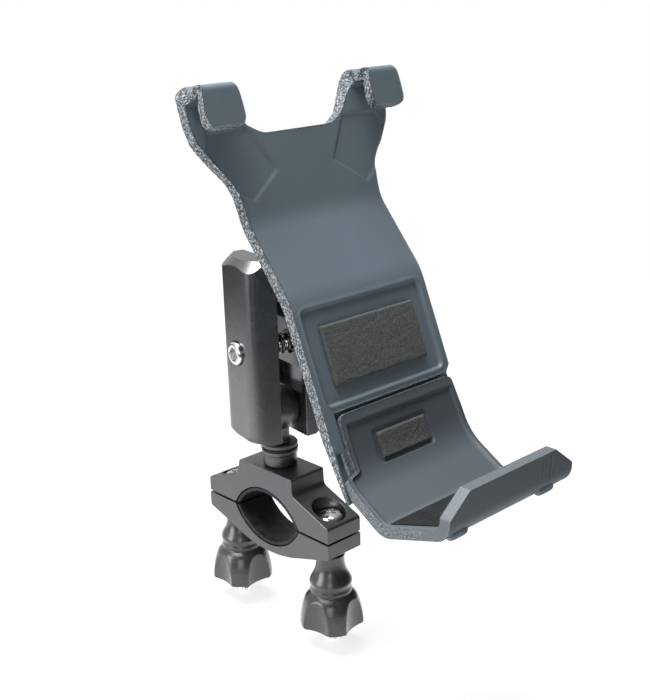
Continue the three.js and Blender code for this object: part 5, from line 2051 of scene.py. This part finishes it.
@dataclass
class SprungJaw(SubAssembly):
    """The sliding jaw that holds the phone's lower edge."""

    profile: SideProfile
    top: float = 38.3
    proud: float = 1.0
    wall: float = 4.0
    shoulder: float = 57.5
    narrow: float = 25.1
    wide: float = 29.9
    right_top: float = 28.7
    corner: float = 2.6
    knee: float = 58.8
    knee_reach: float = 6.8
    slope: float = math.radians(36.7)
    slope_length: float = 18.9
    floor_fall: float = math.radians(4.9)
    floor_length: float = 21.3
    lip_corner: float = 2.4
    lip: float = 10.6
    lip_half: float = 21.0
    lip_drop: float = 7.0
    recess: float = 0.8
    band: float = 2.3
    recess_top: float = 42.3
    lip_back: float = -98.0
    rail_relief: float = 1.25
    flange: float = 0.9
    rib_pitch: float = 1.5
    rib_depth: float = 0.05
    bar_depth: float = 0.26
    nub_half: float = 4.0
    mat_half: float = 27.2
    mat_start: float = 0.5
    mat_length: float = 21.8

    def corners(self) -> Array:
        """Corners of the inner line as (out, up) on the panel's axes: top, knee, heel, toe, lip."""
        slope = np.array([math.sin(self.slope), -math.cos(self.slope)])
        floor = np.array([math.cos(self.floor_fall), -math.sin(self.floor_fall)])
        rise = np.array([math.sin(self.profile.panel_tilt), math.cos(self.profile.panel_tilt)])
        knee = np.array([self.proud, -self.knee])
        heel = knee + self.slope_length * slope
        toe = heel + (self.floor_length + self.lip_corner) * floor
        return np.stack([np.array([self.proud, -self.top]), knee, heel, toe, toe + self.lip * rise])

    def build(self) -> None:
        """Adds the jaw, its slider block, nubs, pad and mat."""
        self.axes = self.profile.panel_axes()
        self.trough()
        self.block()
        self.nubs()
        self.pads()

    def trough(self) -> None:
        """The curved wall, the floor and the lip as one sheet with thickness."""
        corners = self.corners()
        line = fillet_line(corners, [self.knee_reach, 1.6, self.lip_corner], 12)
        length = np.linalg.norm(np.diff(line, axis=0), axis=1).sum()
        toe = length - self.lip
        s = np.unique(
            np.concatenate(
                [
                    np.linspace(0, 3.4, 6),
                    np.linspace(3.5, 5.0, 7),
                    np.linspace(5.4, 17.6, 20),
                    np.linspace(17.9, 20.6, 10),
                    np.linspace(21.2, toe - 4, 44),
                    np.linspace(toe - 3.6, toe + 2.6, 20),
                    np.linspace(toe + 3, length, 20),
                ]
            )
        )
        inner, tangent = along_line(line, s)
        outward = np.stack([tangent[:, 1], -tangent[:, 0]], axis=1)
        out, up = inner[:, 0], inner[:, 1]
        rise = np.maximum(s - (length - self.lip_drop), 0) / self.lip_drop
        taper = (self.wide - self.lip_half) * rise
        round_top = self.corner * (1 - np.sqrt(1 - np.clip(1 - s / self.corner, 0, 1) ** 2))
        left = self.narrow + (self.wide - self.narrow) * smoothstep(-0.6, 1.2, -up - self.shoulder)
        right = self.right_top + (self.wide - self.right_top) * smoothstep(38, 54, -up)
        left = (left - taper - round_top)[:, None]
        right = (right - taper - round_top)[:, None]
        u = np.linspace(0, 1, 137)[None, :]
        x = -left + (left + right) * u
        lean = smoothstep(-63.5, -60.0, up)[:, None]
        over_rail = smoothstep(25.5, 25.8, np.abs(x)) * lean
        wall = self.wall - self.rail_relief * over_rail
        flange = (1 - smoothstep(25.4, 25.6, np.abs(x))) * smoothstep(22.6, 23.2, np.abs(x))
        wall = wall + self.flange * flange * smoothstep(-62, -60.5, up)[:, None]
        side_gap = np.minimum(x + left, right - x) - self.band
        top_gap = (s - (self.recess_top - self.top))[:, None]
        end_gap = (toe - 1.2 - s)[:, None]
        edge = np.minimum(np.minimum(side_gap, top_gap), end_gap)
        relief = self.recess * smoothstep(-0.35, 0.35, edge)
        border = 0.16 * np.exp(-(((edge + 0.9) / 0.45) ** 2))
        seat = rounded_box(x, (s - (52.1 - self.top))[:, None], (12.9, 5.6), 1.6)
        relief = relief + 0.4 * smoothstep(0.25, -0.25, seat) - border
        lip_foot = smoothstep(toe + 1.0, toe + 2.4, s)[:, None]
        lip_share = lip_foot * smoothstep(length, length - 1.4, s)[:, None]
        wave = np.cos(2 * np.pi * x / self.rib_pitch)
        ribs = self.rib_depth * wave * (0.3 + 0.7 * smoothstep(2, 18, x))
        bold = self.bar_depth * sum(np.exp(-(((x - c) / 0.32) ** 2)) for c in (14.5, 16.6, 18.8))
        offset = wall + lip_share * (ribs - bold)
        front = np.empty((*x.shape, 3))
        back = np.empty((*x.shape, 3))
        front[..., 0] = x
        back[..., 0] = x
        front[..., 1] = up[:, None] + relief * outward[:, None, 1]
        front[..., 2] = out[:, None] + relief * outward[:, None, 0]
        back[..., 1] = up[:, None] + offset * outward[:, None, 1]
        back[..., 2] = out[:, None] + offset * outward[:, None, 0]
        skin = shell(self.axes.place(front), self.axes.place(back))
        skin.rim = skin.rim * np.where(skin.points[:, 1] < self.lip_back, 0.08, 0.4)
        # the jaw wears the darker copy of the nylon, whose darkening is painted shade
        self.add(
            "jaw_trough", skin, Finish.NYLON_SHADED, "jaw", ["jaw"], bevel=0.8, segments=3, sharp=50
        )

    def block(self) -> None:
        """The block behind the jaw that the guide rods are pressed into."""
        low, high = -self.top - 11.0, -self.top
        back, front = -11.3, -2.2
        outline = fillet([(-15, low), (15, low), (15, high), (-15, high)], 1.6, 5)
        self.add(
            "jaw_slider_block", prism(outline, back, front).moved(self.axes), Finish.NYLON, "jaw",
            ["jaw"], bevel=0.5,
        )
        half, edge = self.narrow - 0.1, -(self.top - 1.0)
        tongue = fillet([(-half, high - 1.5), (half, high - 1.5), (half, edge), (-half, edge)], 0.4, 3)
        self.add(
            "jaw_tongue_strip", prism(tongue, -3.0, -1.9).moved(self.axes), Finish.NYLON, "jaw",
            ["jaw"], bevel=0.2,
        )

    def nubs(self) -> None:
        """Two low feet under the lip: an upright half-ellipsoid rail each."""
        toe = self.corners()[3]
        low_front = toe + np.array([0.9, -2.7])
        half = self.nub_half
        for name, middle in (("left", -24.5), ("right", 17.6)):
            u = np.linspace(0, 2 * np.pi, 40, endpoint=False)
            v = np.linspace(-np.pi / 2, np.pi / 2, 25)[1:-1]
            squared = np.sign(np.sin(v)) * np.abs(np.sin(v)) ** 0.45
            ring = np.abs(np.cos(v)) ** 0.45
            grid = np.stack(
                [
                    1.9 * ring[:, None] * np.cos(u),
                    1.7 * ring[:, None] * np.sin(u),
                    half * squared[:, None] * np.ones(len(u)),
                ],
                axis=-1,
            )
            skin = wrapped(grid, (-half, half))
            centre = self.axes.place(np.array([middle, low_front[1], low_front[0]]))
            place = Axes.standing(centre, (1, 0, 0), self.axes.back)
            self.add(f"lip_nub_{name}", skin.moved(place), Finish.NYLON, "jaw", ["jaw"], sharp=60)

    def pads(self) -> None:
        """The small foam pad on the curved wall and the black mat on the trough's floor."""
        corners = self.corners()
        line = fillet_line(corners, [self.knee_reach, 1.6, self.lip_corner], 12)

        def ground(x: Array, y: Array) -> Array:
            """Height of the jaw's recessed wall over the panel at y."""
            order = np.argsort(line[:30, 1])
            return np.interp(y, line[:30][order, 1], line[:30][order, 0]) - self.recess - 0.2 + 0 * x

        pad = FoamPad(self.wardrobe, "jaw_pad", "jaw")
        pad.build(self.axes, 11.6, -56.6, -47.6, ground, 1.1, 83)
        heel, toe = corners[2], corners[3]
        floor = (toe - heel) / np.linalg.norm(toe - heel)
        normal = np.array([-floor[1], floor[0]])
        start = heel + self.mat_start * floor
        end = heel + (self.mat_start + self.mat_length) * floor
        wide, deep = self.mat_half, self.mat_length / 2
        share = np.linspace(0, 1, 66)
        x = np.linspace(-wide, wide, 137)[None, :] * np.ones((len(share), 1))
        base = start + share[:, None] * (end - start)
        rows = (share * self.mat_length)[:, None]
        edge = -rounded_box(x, rows - deep, (wide, deep), 1.2)
        rib = 0.14 * np.cos(2 * np.pi * rows / 2.1) * smoothstep(0.8, 1.6, edge)
        height = 0.42 + rib - 0.35 * smoothstep(0.7, 0.0, edge)
        top = base[:, None, :] + height[..., None] * normal
        low = base[:, None, :] - 0.5 * normal + 0 * top
        grids = [
            self.axes.place(np.stack([x, g[..., 1], g[..., 0]], axis=-1)) for g in (top, low)
        ]
        self.add(
            "jaw_mat_ribbed", shell(*grids), Finish.RUBBER, "jaw", ["jaw_floor_mat"], sharp=50
        )


# ------------------------------------------------------------------------------------------ studio
@dataclass(frozen=True)
class SoftBox:
    """A rectangular lamp: its place and size in metres, and its power in watts."""

    name: str
    place: tuple[float, float, float]
    size: tuple[float, float]
    watts: float


@dataclass
class Studio:
    """Floor, world, lamps and camera; its lengths are in metres, but for the floor's in millimetres."""

    boxes: tuple[SoftBox, ...] = (
        SoftBox("overhead_box", (-0.10, 0.16, 1.00), (0.8, 0.6), 27.5),
        SoftBox("left_box", (-0.95, 0.30, 0.35), (0.5, 0.9), 9.0),
        SoftBox("front_fill", (-0.80, -0.70, 0.25), (0.4, 0.5), 2.0),
    )
    floor_radius: float = 6000.0
    floor_gap: float = 1.5
    floor_sides: int = 64
    camera_at: tuple[float, float, float] = (-0.2605, -0.3072, 0.1960)
    right: tuple[float, float, float] = (0.7270, -0.6861, -0.0260)
    forward: tuple[float, float, float] = (0.6457, 0.6958, -0.3118)
    lens: float = 59.64
    dark_level: float = 0.06
    bright_level: float = 0.80
    bright_side: tuple[float, float, float] = (-0.35, 0.80, 0.48)
    dark_until: float = -0.15
    bright_after: float = 0.75

    def build(self) -> None:
        """Sets the whole studio up."""
        self.floor()
        self.world()
        self.lamps()
        self.camera()
        bpy.context.scene.view_settings.view_transform = "Standard"

    def floor(self) -> None:
        """A wide pale floor just under the knobs."""
        level = CAD_BOX[0][2] / MM - self.floor_gap
        turn = np.linspace(0, 2 * np.pi, self.floor_sides, endpoint=False)
        ring = level_ring(self.floor_radius, turn, level)
        mesh = mesh_of("studio_floor", Skin(ring, [np.arange(self.floor_sides)[None]]))
        mesh.materials.append(PaleFloor().build())
        floor = bpy.data.objects.new("studio_floor", mesh)
        bpy.context.scene.collection.objects.link(floor)

    def world(self) -> None:
        """White where it is seen, plain soft light elsewhere."""
        world = bpy.data.worlds.new("studio_world")
        world.use_nodes = True
        bpy.context.scene.world = world
        nodes, links = world.node_tree.nodes, world.node_tree.links
        nodes.clear()
        path = nodes.new("ShaderNodeLightPath")
        seen = nodes.new("ShaderNodeMath")
        seen.operation = "MAXIMUM"
        links.new(path.outputs["Is Camera Ray"], seen.inputs[0])
        links.new(path.outputs["Is Transmission Ray"], seen.inputs[1])
        place = nodes.new("ShaderNodeTexCoord")
        along = nodes.new("ShaderNodeVectorMath")
        along.operation = "DOT_PRODUCT"
        along.inputs[1].default_value = self.bright_side
        links.new(place.outputs["Generated"], along.inputs[0])
        around = nodes.new("ShaderNodeMapRange")
        around.interpolation_type = "SMOOTHSTEP"
        around.inputs["From Min"].default_value = self.dark_until
        around.inputs["From Max"].default_value = self.bright_after
        around.inputs["To Min"].default_value = self.dark_level
        around.inputs["To Max"].default_value = self.bright_level
        links.new(along.outputs["Value"], around.inputs["Value"])
        level = nodes.new("ShaderNodeMapRange")
        level.inputs["To Max"].default_value = 1.0
        links.new(around.outputs[0], level.inputs["To Min"])
        links.new(seen.outputs[0], level.inputs["Value"])
        light = nodes.new("ShaderNodeBackground")
        light.inputs["Color"].default_value = opaque((1.0, 1.0, 1.0))
        links.new(level.outputs[0], light.inputs["Strength"])
        out = nodes.new("ShaderNodeOutputWorld")
        links.new(light.outputs[0], out.inputs["Surface"])

    def lamps(self) -> None:
        """A large soft box overhead, one at the left and a weak fill at the front left."""
        aim = Vector((0, -0.03, 0.06))
        for box in self.boxes:
            data = bpy.data.lights.new(box.name, "AREA")
            data.shape = "RECTANGLE"
            data.size, data.size_y = box.size
            data.energy = box.watts
            lamp = bpy.data.objects.new(box.name, data)
            lamp.location = box.place
            lamp.rotation_euler = (aim - Vector(box.place)).to_track_quat("-Z", "Y").to_euler()
            bpy.context.scene.collection.objects.link(lamp)

    def camera(self) -> None:
        """The camera, from its place and its own axes."""
        data = bpy.data.cameras.new("camera")
        data.lens = self.lens
        data.sensor_width = 36.0
        data.clip_start = 0.01
        data.clip_end = 100.0
        right = Vector(self.right).normalized()
        back = -Vector(self.forward)
        back = (back - right * back.dot(right)).normalized()
        up = back.cross(right)
        turn = Matrix((right, up, back)).transposed().to_4x4()
        camera = bpy.data.objects.new("camera", data)
        bpy.context.scene.collection.objects.link(camera)
        camera.matrix_world = Matrix.Translation(Vector(self.camera_at)) @ turn
        bpy.context.scene.camera = camera


def main() -> None:
    """Builds every sub-assembly in order and the studio round them."""
    logging.basicConfig(level=logging.INFO, format="%(name)s %(message)s")
    wardrobe = Wardrobe()
    ball = np.array(joint("cradle_tilt")["pos_m"])[1:] / MM
    profile = SideProfile(ball)
    for part in (
        HandlebarClamp(wardrobe),
        StarKnobs(wardrobe),
        BallArm(wardrobe),
        StudBase(wardrobe),
        CradlePlate(wardrobe, profile),
        JawHousing(wardrobe, profile),
        SprungJaw(wardrobe, profile),
    ):
        part.build()
        log.info("%s is done", type(part).__name__)
    Studio().build()


if __name__ == "__main__":
    main()
